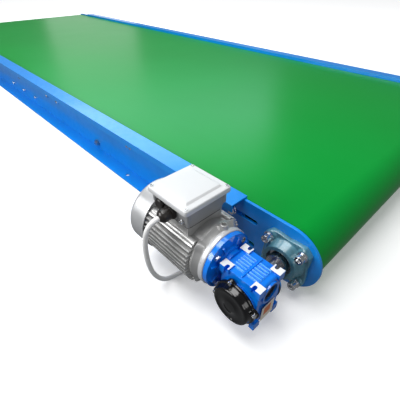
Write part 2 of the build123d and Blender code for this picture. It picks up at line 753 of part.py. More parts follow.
FIN_PITCH = 8.4
FIN_T = 2.6
with BuildPart() as motor_housing:
    with BuildSketch(across_worm(FIN_END)):
        Circle(BODY_R)
    extrude(amount=SHIELD_BACK - FIN_END)
    with BuildSketch(across_worm(FIN_END)):
        with GridLocations(1, FIN_PITCH, 1, 11):
            Rectangle(2 * MOTOR_R, FIN_T)
        Circle(MOTOR_R, mode=Mode.INTERSECT)
    extrude(amount=SHIELD_BACK - FIN_END)
    with BuildSketch(across_worm(FIN_END)):
        with Locations((0, -MOTOR_R / 2)):
            with GridLocations(FIN_PITCH, 1, 7, 1):
                Rectangle(FIN_T, MOTOR_R)
        Circle(MOTOR_R, mode=Mode.INTERSECT)
    extrude(amount=SHIELD_BACK - FIN_END)
    with BuildSketch(level(BOX_BASE - 2)):
        with Locations((BOX_X, -3)):
            Rectangle(78, 78)
    extrude(amount=-34)
    with BuildSketch(level(BOX_BASE - 30)):
        with Locations((BOX_X + 4, 0)):
            Rectangle(102, 66)
    extrude(amount=-10)
    with BuildSketch(across_worm(FIN_END)):
        with PolarLocations(58, 4, start_angle=45):
            Circle(6)
    extrude(amount=SHIELD_BACK - FIN_END)
    with BuildSketch(across_worm(FIN_END)):
        Circle(BODY_BORE)
    extrude(amount=SHIELD_BACK - FIN_END, mode=Mode.SUBTRACT)
save(motor_housing.part, "motor_housing")

with BuildPart() as stator_core:
    with BuildSketch(across_worm(FIN_END + 24)):
        Circle(BODY_BORE)
        Circle(32.4, mode=Mode.SUBTRACT)
    extrude(amount=72)
save(stator_core.part, "stator_core")

motor_rear_shield = turned([
    (FIN_END, 10), (FIN_END, 62), (FIN_END - 8, 62), (FIN_END - 12, 30), (FIN_END - 12, 10)])
save(motor_rear_shield, "motor_rear_shield")

with BuildPart() as motor_rotor:
    with BuildSketch(across_worm(FIN_END + 26)):
        Circle(32)
    extrude(amount=68)
    with BuildSketch(across_worm(MOTOR_END + 12)):
        Circle(5.5)
    extrude(amount=-MOTOR_END - 12 - 24)
save(motor_rotor.part, "motor_rotor")

FAN_X = FIN_END - 16
with BuildPart() as motor_fan:
    with BuildSketch(across_worm(FAN_X)):
        Circle(11)
        Circle(5.53, mode=Mode.SUBTRACT)
    extrude(amount=-14)
    with BuildSketch(across_worm(FAN_X)):
        Circle(52)
        Circle(10, mode=Mode.SUBTRACT)
    extrude(amount=-2)
    for blade in range(9):
        with BuildSketch(across_worm(FAN_X)):
            with Locations(Location((0, 0, 0), (0, 0, 40 * blade))):
                with Locations((36, 0)):
                    Rectangle(32, 2)
        extrude(amount=-13)
save(motor_fan.part, "motor_fan")

COWL_T = 1.6
with BuildPart() as fan_cowl:
    with BuildSketch(across_worm(FIN_END + 4)):
        Circle(COWL_R)
    extrude(amount=MOTOR_END - FIN_END - 4)
    fillet(fan_cowl.faces().sort_by(Axis.X)[0].edges(), radius=10)
    rim = fan_cowl.faces().sort_by(Axis.X)[-1]
    offset(amount=-COWL_T, openings=rim, kind=Kind.ARC)
    with BuildSketch(across_worm(MOTOR_END)):
        for radius, count in ((14, 6), (24, 10), (34, 14), (44, 18), (53, 22)):
            with PolarLocations(radius, count):
                Circle(3.2)
    extrude(amount=COWL_T + 1, mode=Mode.SUBTRACT)
save(fan_cowl.part, "fan_cowl")

with BuildPart() as motor_flange_bolts:
    with BuildSketch(across_worm(FLANGE_X + 9)):
        with PolarLocations(42.5, 4, start_angle=45):
            RegularPolygon(5, 6, major_radius=False)
    extrude(amount=4.5)
    with BuildSketch(across_worm(FLANGE_X + 9)):
        with PolarLocations(42.5, 4, start_angle=45):
            Circle(3)
    extrude(amount=-9)
save(motor_flange_bolts.part, "motor_flange_bolts")

# ---- terminal box ------------------------------------------------------------------------------
BODY_X, BODY_Y = 88, 86
BOX_Y = -3
WALL = 3
with BuildPart() as terminal_gasket:
    with BuildSketch(level(BOX_BASE - 2)):
        with Locations((BOX_X, BOX_Y)):
            RectangleRounded(80, 78, 6)
            RectangleRounded(58, 56, 6, mode=Mode.SUBTRACT)
    extrude(amount=2)
save(terminal_gasket.part, "terminal_gasket")

GLAND_X = (-163, -136)
GLAND_Z = 113
BOX_FRONT = BOX_Y - BODY_Y / 2
with BuildPart() as terminal_box:
    with BuildSketch(level(BOX_BASE)):
        with Locations((BOX_X, BOX_Y)):
            RectangleRounded(BODY_X, BODY_Y, 7)
    extrude(amount=BOX_HEIGHT)
    with BuildSketch(level(BOX_BASE + WALL)):
        with Locations((BOX_X, BOX_Y)):
            RectangleRounded(BODY_X - 2 * WALL, BODY_Y - 2 * WALL, 4)
    extrude(amount=BOX_HEIGHT, mode=Mode.SUBTRACT)
    with BuildSketch(level(BOX_BASE)):
        with Locations((BOX_X, BOX_Y)):
            RectangleRounded(40, 40, 6)
    extrude(amount=WALL, mode=Mode.SUBTRACT)
    with BuildSketch(level(BOX_BASE + WALL)):
        with Locations((BOX_X, BOX_Y)):
            with GridLocations(BODY_X - 14, BODY_Y - 14, 2, 2):
                Circle(5)
    extrude(amount=BOX_HEIGHT - WALL)
    with BuildSketch(across_axis(BOX_FRONT)):
        with Locations(*[(x, GLAND_Z) for x in GLAND_X]):
            Circle(8.2)
    extrude(amount=-WALL - 2, mode=Mode.SUBTRACT)
save(terminal_box.part, "terminal_box")

LID_Z = BOX_BASE + BOX_HEIGHT
with BuildPart() as terminal_lid:
    with BuildSketch(level(LID_Z)):
        with Locations((BOX_X, BOX_Y)):
            RectangleRounded(LID_X, LID_Y, 5)
    extrude(amount=LID_T)
    with BuildSketch(level(LID_Z + LID_T)):
        with Locations((BOX_X, BOX_Y)):
            RectangleRounded(LID_X - 26, LID_Y - 26, 5)
    extrude(amount=3, taper=40)
    with BuildSketch(level(LID_Z)):
        with Locations((BOX_X, BOX_Y)):
            RectangleRounded(BODY_X - 22, BODY_Y - 22, 4)
    extrude(amount=LID_T - 3, mode=Mode.SUBTRACT)
save(terminal_lid.part, "terminal_lid")

# Small screws of the gearmotor: output cover, fan cowl and terminal box lid.
with BuildPart() as gearmotor_screws:
    with BuildSketch(across_axis(-COVER_FACE - 5)):
        with PolarLocations(COVER_LUG_R, 4, start_angle=15):
            Circle(3.6)
    extrude(amount=4)
    with BuildSketch(across_axis(-COVER_FACE - 9)):
        with PolarLocations(COVER_LUG_R, 4, start_angle=15):
            RegularPolygon(1.8, 6, major_radius=False)
    extrude(amount=-2.4, mode=Mode.SUBTRACT)
    for turn in (20, 110, 200, 290):
        angle = math.radians(turn)
        outwards = (0, math.cos(angle), math.sin(angle))
        seat = Vector(motor_point(x=FIN_END - 6, z=CENTRE_DISTANCE)) + Vector(outwards) * COWL_R
        with BuildSketch(Plane(origin=seat, x_dir=(1, 0, 0), z_dir=outwards)):
            Circle(3.5)
        extrude(amount=2.2)
    with BuildSketch(level(LID_Z + LID_T)):
        with Locations((BOX_X, BOX_Y)):
            with GridLocations(LID_X - 12, LID_Y - 12, 2, 2):
                Circle(3)
    extrude(amount=1.6)
    with BuildSketch(level(LID_Z + LID_T + 1.6)):
        with Locations((BOX_X, BOX_Y)):
            with GridLocations(LID_X - 12, LID_Y - 12, 2, 2):
                Rectangle(4, 1)
                Rectangle(1, 4)
    extrude(amount=-0.9, mode=Mode.SUBTRACT)
save(gearmotor_screws.part, "gearmotor_screws")

GLAND_LENGTH = 27
with BuildPart() as cable_gland:
    with BuildSketch(across_axis(BOX_FRONT + WALL)):
        with Locations((GLAND_X[1], GLAND_Z)):
            Circle(8)
    extrude(amount=WALL)
    with BuildSketch(across_axis(BOX_FRONT)):
        with Locations((GLAND_X[1], GLAND_Z)):
            RegularPolygon(12, 6, major_radius=False)
    extrude(amount=6)
    with BuildSketch(across_axis(BOX_FRONT - 6)):
        with Locations((GLAND_X[1], GLAND_Z)):
            Circle(10.5)
    extrude(amount=3)
    with BuildSketch(across_axis(BOX_FRONT - 9)):
        with Locations((GLAND_X[1], GLAND_Z)):
            RegularPolygon(11.5, 6, major_radius=False)
    extrude(amount=11)
    with BuildSketch(across_axis(BOX_FRONT - 20)):
        with Locations((GLAND_X[1], GLAND_Z)):
            Circle(11)
    extrude(amount=GLAND_LENGTH - 20, taper=24)
save(cable_gland.part, "cable_gland")

with BuildPart() as blanking_plug:
    with BuildSketch(across_axis(BOX_FRONT + WALL)):
        with Locations((GLAND_X[0], GLAND_Z)):
            Circle(8)
    extrude(amount=WALL)
    with BuildSketch(across_axis(BOX_FRONT)):
        with Locations((GLAND_X[0], GLAND_Z)):
            Circle(11.5)
    extrude(amount=7)
    fillet(blanking_plug.faces().sort_by(Axis.Y)[0].edges(), radius=2.5)
save(blanking_plug.part, "blanking_plug")

# ---- supply cable --------------------------------------------------------------------------------
# Hand-laid route from the gland over the motor's side to the ground, then under
# the motor to the coil: X from the drive axis, Y from the end plate's face, Z up.
GLAND_END = -GEAR_OFFSET + BOX_FRONT - GLAND_LENGTH
CABLE_ROUTE = [
    (-136, GLAND_END, 185), (-136, -196.5, 185), (-137.2, -209.8, 178.8),
    (-138.9, -219, 166), (-141, -223, 148.5), (-143.2, -223.8, 127),
    (-145.4, -222, 103), (-146.8, -219.3, 80), (-147.6, -214.5, 58), (-148, -206.5, 38.5),
    (-148.7, -194, 21.5), (-149.4, -178.5, 10), (-149.6, -161.9, 4.8), (-148.4, -144.9, 4.5),
    (-144, -129.5, 4.6), (-135.6, -117.1, 4.5), (-124.3, -108.8, 4.6), (-111, -104.5, 4.5),
    (-98, -104.5, 4.5)]


def route_radii(points):
    """Radius at each inner point: 0.45 of the shorter run over tan(half the turn)."""
    radii = []
    for before, here, after in zip(points, points[1:], points[2:]):
        first, second = here - before, after - here
        half_turn = math.radians(first.get_angle(second)) / 2
        radii.append(0.45 * min(first.length, second.length) / math.tan(half_turn))
    return radii


COIL_CENTRE = (-64, -60)
COIL_H = 18.5
COIL_BAND = 6.5            # half the width of the band of turns
route = [Vector(DRIVE_X + x, y - PLATE_FACE, z) for x, y, z in CABLE_ROUTE]
radii = route_radii(route)
with BuildPart() as supply_cable:
    with BuildLine() as path:
        FilletPolyline(*route, radius=radii)
    with BuildSketch(Plane(origin=route[0], z_dir=route[1] - route[0])):
        Circle(CABLE_D / 2)
    sweep(path=path.line)
print("cable radii", [round(radius) for radius in radii])
cable_length = sum(edge.length for edge in path.edges())
cable_section = math.pi * CABLE_D ** 2 / 4
print("cable length", round(cable_length), "volume over section times length",
      round(supply_cable.part.volume / (cable_section * cable_length), 4))
save(supply_cable.part, "supply_cable")

with BuildPart() as cable_coil:
    coil_middle = (DRIVE_X + COIL_CENTRE[0], -PLATE_FACE + COIL_CENTRE[1])
    with BuildSketch(Plane.XY):
        with Locations(coil_middle):
            Circle(COIL_R + COIL_BAND)
            Circle(COIL_R - COIL_BAND, mode=Mode.SUBTRACT)
    extrude(amount=COIL_H)
    fillet(cable_coil.edges().filter_by(GeomType.CIRCLE), radius=4)
    with BuildSketch(Plane(origin=route[-1], z_dir=(1, 0, 0))):
        Circle(CABLE_D / 2 - 0.01)
    extrude(amount=coil_middle[0] - route[-1].X)
save(cable_coil.part, "cable_coil")
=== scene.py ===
# %% [markdown]
# A belt conveyor section with its worm gearmotor.  The CAD model is loaded as a fixed
# frame, in metres.  Places are worked out from it, so that every new piece stays on the
# machine, and the small sizes of a piece are given in millimetres beside it.

# %% Load the frame
import json
import math

import bpy
import numpy as np
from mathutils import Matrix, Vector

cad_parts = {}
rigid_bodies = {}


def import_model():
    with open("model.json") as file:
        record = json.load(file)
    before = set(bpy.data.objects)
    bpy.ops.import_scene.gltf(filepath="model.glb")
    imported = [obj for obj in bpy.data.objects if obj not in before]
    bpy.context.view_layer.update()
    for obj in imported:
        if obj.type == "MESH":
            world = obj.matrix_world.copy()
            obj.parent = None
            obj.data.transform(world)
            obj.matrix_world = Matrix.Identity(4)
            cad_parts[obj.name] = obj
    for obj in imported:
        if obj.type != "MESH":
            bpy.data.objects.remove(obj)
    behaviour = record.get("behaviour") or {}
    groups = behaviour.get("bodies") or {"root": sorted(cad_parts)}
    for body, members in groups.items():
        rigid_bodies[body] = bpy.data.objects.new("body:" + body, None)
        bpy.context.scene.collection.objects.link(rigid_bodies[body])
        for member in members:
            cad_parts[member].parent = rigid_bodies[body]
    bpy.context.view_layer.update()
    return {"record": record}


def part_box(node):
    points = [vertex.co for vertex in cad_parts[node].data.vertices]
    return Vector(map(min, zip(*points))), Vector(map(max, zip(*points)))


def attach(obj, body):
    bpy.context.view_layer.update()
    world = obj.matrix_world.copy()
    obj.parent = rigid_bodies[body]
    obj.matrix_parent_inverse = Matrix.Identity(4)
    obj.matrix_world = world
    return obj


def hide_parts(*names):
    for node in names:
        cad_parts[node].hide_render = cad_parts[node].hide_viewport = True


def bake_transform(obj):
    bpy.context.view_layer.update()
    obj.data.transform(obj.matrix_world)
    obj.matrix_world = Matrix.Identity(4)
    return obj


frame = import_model()
record = frame["record"]

# %% [markdown]
# Positions are easiest to read from the drive axis, so a few places are named once:
# the drive axis, the outer face of the near end plate and the motor's own axis.

# %% Named places
drum_low, drum_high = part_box("drive_drum")
DRIVE_X = (drum_low[0] + drum_high[0]) / 2
AXIS_Z = (drum_low[2] + drum_high[2]) / 2
PLATE_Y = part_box("drive_plate_near")[0][1]
gear_low, gear_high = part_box("gearbox_housing")
GEAR_Y = (gear_low[1] + gear_high[1]) / 2
worm_low, worm_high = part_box("worm_shaft")
MOTOR_Z = (worm_low[2] + worm_high[2]) / 2
MM = 0.001
print("drive axis", DRIVE_X, AXIS_Z, "plate", PLATE_Y, "motor axis", GEAR_Y, MOTOR_Z)

# %% [markdown]
# The camera stands a little above and beyond the drive end and looks back along the
# belt with a wide lens, so the gearmotor is large and the belt runs away to the far end.

# %% Camera
CAMERA_PLACE = (DRIVE_X + 0.1686, PLATE_Y - 0.3784, AXIS_Z + 0.4286)
CAMERA_AZIMUTH = 46.8
CAMERA_ELEVATION = 38.0
LENS = 27.36
SENSOR_WIDTH = 36.0
NEAREST_SEEN, FARTHEST_SEEN = 0.01, 100.0


def make_camera():
    """Camera at its place, turned down by the elevation and round by the azimuth."""
    camera_data = bpy.data.cameras.new("camera")
    camera_data.lens = LENS
    camera_data.sensor_width = SENSOR_WIDTH
    camera_data.clip_start = NEAREST_SEEN
    camera_data.clip_end = FARTHEST_SEEN
    camera = bpy.data.objects.new("camera", camera_data)
    camera.location = CAMERA_PLACE
    camera.rotation_euler = (math.radians(90 - CAMERA_ELEVATION), 0,
                             math.radians(CAMERA_AZIMUTH))
    bpy.context.scene.collection.objects.link(camera)
    bpy.context.scene.camera = camera
    return camera


camera = make_camera()
print("camera at", tuple(camera.location))

# %% [markdown]
# The supply cable is a soft white lead.  It leaves the gland, drops past the motor's
# side, and lies under the motor in a small coil: about two turns, one on the other.
# It is one smooth NURBS curve whose control points are listed one by one, with the
# turns of the coil added by a loop.

# %% Supply cable route
CABLE_D = 0.009
CABLE_LENGTH = 0.85
CABLE_ROUTE = [
    (-136, -182, 185), (-136, -191, 184.6), (-137.2, -200, 178.6),
    (-138.9, -206, 166), (-141, -208.5, 148.5), (-143.2, -208.5, 127),
    (-145.4, -207, 103), (-146.8, -204, 80), (-147.6, -199, 58), (-148, -191, 38.5),
    (-148.7, -180, 21.5), (-149.4, -168, 10), (-149.6, -155, 4.9), (-148.4, -141.5, 4.6),
    (-144, -128.5, 4.6), (-135.6, -117.1, 4.6), (-124.3, -108.8, 4.6), (-111, -104.5, 4.6),
    (-98, -104.5, 4.6), (-80, -104.8, 4.6)]
COIL_X, COIL_Y, COIL_R = -64, -60, 45.4
COIL_TURNS = 1.93
STEPS_PER_TURN = 18
CLIMB_START, CLIMB_SPAN = 0.76, 0.2
CORD_REST, LAYER_LIFT, LAYER_TUCK = 4.6, 9.25, 2.4


def coil_point(turn):
    """Point of the coil, in mm: a circle whose second turn climbs onto the first.

    The climb c eases as 3 c^2 - 2 c^3 over a fifth of a turn, just before the first turn
    is met, and it draws the circle in a little as it lifts.
    """
    angle = 2 * math.pi * turn - math.pi / 2
    climb = min(1.0, max(0.0, (turn - CLIMB_START) / CLIMB_SPAN))
    lift = climb * climb * (3 - 2 * climb)
    radius = COIL_R - LAYER_TUCK * lift
    return (COIL_X + radius * math.cos(angle), COIL_Y + radius * math.sin(angle),
            CORD_REST + LAYER_LIFT * lift)


def placed(points):
    """Points given from the drive axis, the plate's face and the floor, in mm."""
    return [(DRIVE_X + x * MM, PLATE_Y + y * MM, z * MM) for x, y, z in points]


coil_steps = int(COIL_TURNS * STEPS_PER_TURN)
coil = [coil_point(step / STEPS_PER_TURN) for step in range(1, coil_steps + 1)]
route = placed(CABLE_ROUTE + coil)
print("lead route", len(route), "points, of which", len(coil), "in the coil")

# %% [markdown]
# A cord could be swept as a mesh, but a curve object keeps its own middle line, and the
# lead's length is measured on that.  A round bevel gives the curve its thickness.

# %% Supply cable spline
SPLINE_STEPS, BEVEL_STEPS = 8, 5


def smooth_curve(name, points, diameter):
    """Round cord: a NURBS spline of order 3, drawn towards its control points."""
    data = bpy.data.curves.new(name, "CURVE")
    data.dimensions = "3D"
    data.resolution_u = SPLINE_STEPS
    data.bevel_depth = diameter / 2
    data.bevel_resolution = BEVEL_STEPS
    data.use_fill_caps = True
    spline = data.splines.new("NURBS")
    spline.points.add(len(points) - 1)
    flat = np.ones((len(points), 4))
    flat[:, :3] = points
    spline.points.foreach_set("co", flat.ravel())
    spline.order_u = 3
    spline.use_endpoint_u = True
    piece = bpy.data.objects.new(name, data)
    bpy.context.scene.collection.objects.link(piece)
    return piece


def line_length(piece):
    """Length of a cord's own line: the sum of the steps along its evaluated spline."""
    data = piece.data.copy()
    data.bevel_depth = 0
    twin = bpy.data.objects.new("measure", data)
    bpy.context.scene.collection.objects.link(twin)
    mesh = bpy.data.meshes.new_from_object(twin.evaluated_get(
        bpy.context.evaluated_depsgraph_get()))
    points = np.empty(len(mesh.vertices) * 3)
    mesh.vertices.foreach_get("co", points)
    bpy.data.objects.remove(twin)
    bpy.data.meshes.remove(mesh)
    steps = np.diff(points.reshape(-1, 3), axis=0)
    return float(np.linalg.norm(steps, axis=1).sum())


cable = smooth_curve("supply_lead", route, CABLE_D)
print("supply lead", round(line_length(cable), 3), "m; said", CABLE_LENGTH)

# %% [markdown]
# The studio is a large white floor with broad soft lamps.  The floor is stage, not part
# of the conveyor.  Diffuse and glossy rays pass it by, so it neither lights the machine
# from below nor shows in its gloss.

# %% Floor
FLOOR_SIZE, FLOOR_Z = 60.0, -0.0005


def add_plane(name, size, z):
    """One square face: its corners lie half a size from the middle, all at height z."""
    mesh = bpy.data.meshes.new(name)
    half = size / 2
    mesh.from_pydata([(-half, -half, z), (half, -half, z), (half, half, z),
                      (-half, half, z)], [], [(0, 1, 2, 3)])
    piece = bpy.data.objects.new(name, mesh)
    bpy.context.scene.collection.objects.link(piece)
    return piece


floor = add_plane("floor", FLOOR_SIZE, FLOOR_Z)
floor.visible_diffuse = False
floor.visible_glossy = False
print("floor", FLOOR_SIZE, "m wide")

# %% [markdown]
# Six area lamps give the soft light of a hall: two from above, one beyond the tail end,
# a cool one from the far side that the belt mirrors, and two that light the motor.  Large
# lamps make soft shadows and wide highlights, where small ones would make hard spots.

# %% Lamps
MOTOR_MIDDLE = (DRIVE_X - 0.1, GEAR_Y, 0.1)
PLAIN_LIGHT, COOL_LIGHT = (1.0, 1.0, 1.0), (0.62, 0.92, 1.0)
SURROUND_COLOUR, SURROUND_STRENGTH = (0.93, 0.96, 1.0, 1), 0.17
# Each lamp has its place, the place it faces, its size, its power in watts and its colour.
LAMPS = {
    "top_lamp": ((0.8, -0.9, 2.6), (1.0, -0.3, 0), (1.8, 1.4), 50, PLAIN_LIGHT),
    "run_lamp": ((-1.2, 0.2, 3.0), (-0.9, 0, 0), (2.2, 1.4), 38, PLAIN_LIGHT),
    "far_panel": ((-7.6, 3.6, 1.5), (0.2, 0, 0.4), (2.4, 2.4), 14, PLAIN_LIGHT),
    "side_panel": ((-1.7, 1.5, 1.75), (1.1, -0.5, 0.1), (3.2, 0.9), 23, COOL_LIGHT),
    "left_lamp": ((0.1, -2.7, 1.25), MOTOR_MIDDLE, (1.6, 1.0), 44, PLAIN_LIGHT),
    "drive_side_lamp": ((3.4, -0.9, 0.9), MOTOR_MIDDLE, (1.0, 0.9), 7, PLAIN_LIGHT),
}


def soft_lamp(name, place, target, size, power, colour):
    """Area lamp tilted by the target's distance over its drop, then turned to face it."""
    data = bpy.data.lights.new(name, "AREA")
    data.shape = "RECTANGLE"
    data.size, data.size_y = size
    data.energy = power
    data.color = colour
    lamp = bpy.data.objects.new(name, data)
    lamp.location = place
    towards = np.array(target) - np.array(place)
    flat = math.hypot(towards[0], towards[1])
    lamp.rotation_euler = (math.atan2(flat, -towards[2]), 0,
                           math.atan2(towards[1], towards[0]) - math.pi / 2)
    bpy.context.scene.collection.objects.link(lamp)


for lamp_name, lamp_facts in LAMPS.items():
    soft_lamp(lamp_name, *lamp_facts)
bpy.context.scene.view_settings.view_transform = "Standard"
world = bpy.data.worlds.new("surround")
bpy.context.scene.world = world
world.use_nodes = True
background = world.node_tree.nodes["Background"]
background.inputs["Color"].default_value = SURROUND_COLOUR
background.inputs["Strength"].default_value = SURROUND_STRENGTH
print("lamps", list(LAMPS), "surround", SURROUND_STRENGTH)

# %% [markdown]
# Every finish is one principled surface whose colour, roughness and bump come from noise
# on the object's own coordinates, so it stays on the piece when the piece moves.  Image
# textures would do too, but noise has no seams and needs no unwrapping.  A small class
# holds the node work, so each finish below reads as a recipe.

# %% Finish class
class Finish:
    """A material that is built node by node."""

    def __init__(self, name):
        self.material = bpy.data.materials.new(name)
        self.material.use_nodes = True
        self.tree = self.material.node_tree
        self.shader = self.tree.nodes["Principled BSDF"]
        self.place = self.tree.nodes.new("ShaderNodeTexCoord").outputs["Object"]

    def node(self, kind, **values):
        """New shader node; each value is set on its socket, or else as a setting."""
        made = self.tree.nodes.new(kind)
        for key, value in values.items():
            if key in made.inputs:
                made.inputs[key].default_value = value
            else:
                setattr(made, key, value)
        return made

    def link(self, start, end):
        """Joins an output to an input."""
        self.tree.links.new(start, end)

    def set(self, **values):
        """Plain values on the shader's own sockets; _ stands for a space."""
        for key, value in values.items():
            self.shader.inputs[key.replace("_", " ")].default_value = value

    def stretched(self, scale):
        """The object's coordinates with each axis scaled."""
        mapping = self.node("ShaderNodeMapping")
        mapping.inputs["Scale"].default_value = scale
        self.link(self.place, mapping.inputs["Vector"])
        return mapping.outputs["Vector"]

    def noise(self, scale, detail=3.0, vector=None, roughness=0.5):
        """Noise between 0 and 1, with about scale lumps to the metre."""
        made = self.node("ShaderNodeTexNoise", Scale=scale, Detail=detail)
        made.inputs["Roughness"].default_value = roughness
        self.link(vector or self.place, made.inputs["Vector"])
        return made.outputs["Fac"]

    def ranged(self, value, low, high, start=0.3, stop=0.7):
        """A value that runs from low to high while its input runs from start to stop."""
        made = self.node("ShaderNodeMapRange")
        for socket, number in (("From Min", start), ("From Max", stop),
                               ("To Min", low), ("To Max", high)):
            made.inputs[socket].default_value = number
        self.link(value, made.inputs["Value"])
        return made.outputs["Result"]

    def blended(self, factor, first, second):
        """Mix of two colours or colour sockets, first at 0 and second at 1."""
        made = self.node("ShaderNodeMix", data_type="RGBA")
        self.link(factor, made.inputs["Factor"])
        for index, colour in ((6, first), (7, second)):
            if isinstance(colour, tuple):
                made.inputs[index].default_value = (*colour, 1)
            else:
                self.link(colour, made.inputs[index])
        return made.outputs[2]

    def colour(self, socket):
        """Sends a colour to the surface."""
        self.link(socket, self.shader.inputs["Base Color"])

    def roughness(self, socket):
        """Sends a roughness to the surface."""
        self.link(socket, self.shader.inputs["Roughness"])

    def bump(self, height, distance, strength=1.0, normal=None):
        """Bump: the surface leans as if a height times a distance lay on it."""
        made = self.node("ShaderNodeBump", Distance=distance, Strength=strength)
        self.link(height, made.inputs["Height"])
        if normal is not None:
            self.link(normal, made.inputs["Normal"])
        self.link(made.outputs["Normal"], self.shader.inputs["Normal"])
        return made.outputs["Normal"]

    def soft_edges(self, radius):
        """Rounds the corners of sheet and castings by a small radius."""
        made = self.node("ShaderNodeBevel", Radius=radius)
        made.samples = 4
        self.link(made.outputs["Normal"], self.shader.inputs["Normal"])
        return made.outputs["Normal"]


print("finish class", Finish.__name__)

# %% [markdown]
# Three recipes cover almost everything here.  Paint has patches of tone and orange peel,
# bare metal has the lines of its turning or rolling, and moulded plastic or rubber has an
# eroded grain and faint dust.  The pairs below say how far gloss and dirt may wander.

# %% Finish recipes
PAINT_GLOSS, METAL_GLOSS, PLASTIC_GLOSS = (0.8, 1.25), (0.75, 1.35), (0.8, 1.3)
GRIME_SPREAD, DUST_SPREAD = (0.52, 0.75), (0.4, 0.8)
GRIME_SCALE, DUST_SCALE, GLOSS_SCALE = 31, 60, 120


def scaled(colour, factor):
    """Each part of a colour times a factor, at most 1."""
    return tuple(min(1.0, part * factor) for part in colour)


def scaled_gloss(rough, spread):
    """Lowest and highest roughness round a middle one."""
    return rough * spread[0], rough * spread[1]


def painted(name, colour, rough, coat=0.3, coat_rough=0.1, peel=0.00002, peel_scale=500,
            patch=0.12, patch_scale=9, metallic=0.0, edge=0.0006, grime=None):
    """Paint: broad patches of tone, a slightly uneven gloss and a fine orange peel."""
    made = Finish(name)
    made.set(Metallic=metallic, Coat_Weight=coat, Coat_Roughness=coat_rough)
    patches = made.ranged(made.noise(patch_scale, 4), 0, 1)
    tone = made.blended(patches, scaled(colour, 1 - patch), scaled(colour, 1 + patch))
    if grime:
        specks = made.noise(GRIME_SCALE, 6, roughness=0.65)
        dirt = made.ranged(specks, 0, grime[1], *GRIME_SPREAD)
        tone = made.blended(dirt, tone, grime[0])
    made.colour(tone)
    made.roughness(made.ranged(made.noise(patch_scale * 7, 5), *scaled_gloss(rough, PAINT_GLOSS)))
    normal = made.soft_edges(edge) if edge else None
    made.bump(made.noise(peel_scale, 2), peel, normal=normal)
    return made.material


def worked_metal(name, colour, rough, grain=(1, 1, 1), grain_scale=900, depth=0.000012,
                 patch=0.1, edge=0.0004):
    """Bare metal: a directional grain from turning or rolling over faint patches."""
    made = Finish(name)
    made.set(Metallic=1.0)
    lines = made.noise(grain_scale, 2, made.stretched(grain))
    patches = made.ranged(made.noise(25, 5), 0, 1)
    made.colour(made.blended(patches, scaled(colour, 1 - patch), scaled(colour, 1 + patch)))
    made.roughness(made.ranged(lines, *scaled_gloss(rough, METAL_GLOSS)))
    normal = made.soft_edges(edge) if edge else None
    made.bump(lines, depth, normal=normal)
    return made.material


def moulded(name, colour, rough, coat=0.0, grain=0.00001, grain_scale=700, edge=0.0006,
            shine=0.5):
    """Moulded plastic or rubber: even colour, fine eroded grain, faint dust."""
    made = Finish(name)
    made.set(Coat_Weight=coat, Coat_Roughness=0.08, Specular_IOR_Level=shine)
    dust = made.ranged(made.noise(DUST_SCALE, 6, roughness=0.7), 0, 1, *DUST_SPREAD)
    made.colour(made.blended(dust, colour, tuple(part * 0.9 + 0.004 for part in colour)))
    made.roughness(made.ranged(made.noise(GLOSS_SCALE, 4), *scaled_gloss(rough, PLASTIC_GLOSS)))
    normal = made.soft_edges(edge) if edge else None
    made.bump(made.noise(grain_scale, 3), grain, normal=normal)
    return made.material


print("recipes", [recipe.__name__ for recipe in (painted, worked_metal, moulded)])

# %% [markdown]
# The belt has a glossy green cover with broad clouds of tone, and light scuffs that run
# along it because their noise is stretched that way.  Its roughness stays above 0.274
# everywhere: on smoother or mixed surfaces the render's noise filter leaves a thin hard
# line where the belt is seen at a flat angle.

# %% Belt finish
BELT_SHADE, BELT_LIGHT, BELT_SCUFF = (0.0, 0.262, 0.026), (0.0, 0.322, 0.038), (0.006, 0.33, 0.06)
BELT_GLOSS = (0.278, 0.32)
SCUFF_STRETCH, SCUFF_SHARE = (0.3, 6, 6), 0.2
BELT_WAVE = 0.00008


def belt_green():
    """Green cover: two greens blended by noise, scuffs over them, and low waves."""
    made = Finish("belt_green")
    made.set(Coat_Weight=0.0, Specular_IOR_Level=0.2)
    clouds = made.noise(2.2, 3)
    tone = made.blended(clouds, BELT_SHADE, BELT_LIGHT)
    scuffs = made.noise(8, 3, made.stretched(SCUFF_STRETCH))
    tone = made.blended(made.ranged(scuffs, 0, SCUFF_SHARE, 0, 1), tone, BELT_SCUFF)
    made.colour(tone)
    made.roughness(made.ranged(made.noise(5, 2), *BELT_GLOSS, 0, 1))
    made.bump(made.noise(3, 1), BELT_WAVE)
    return made.material


belt_finish = belt_green()
print("belt roughness", BELT_GLOSS)
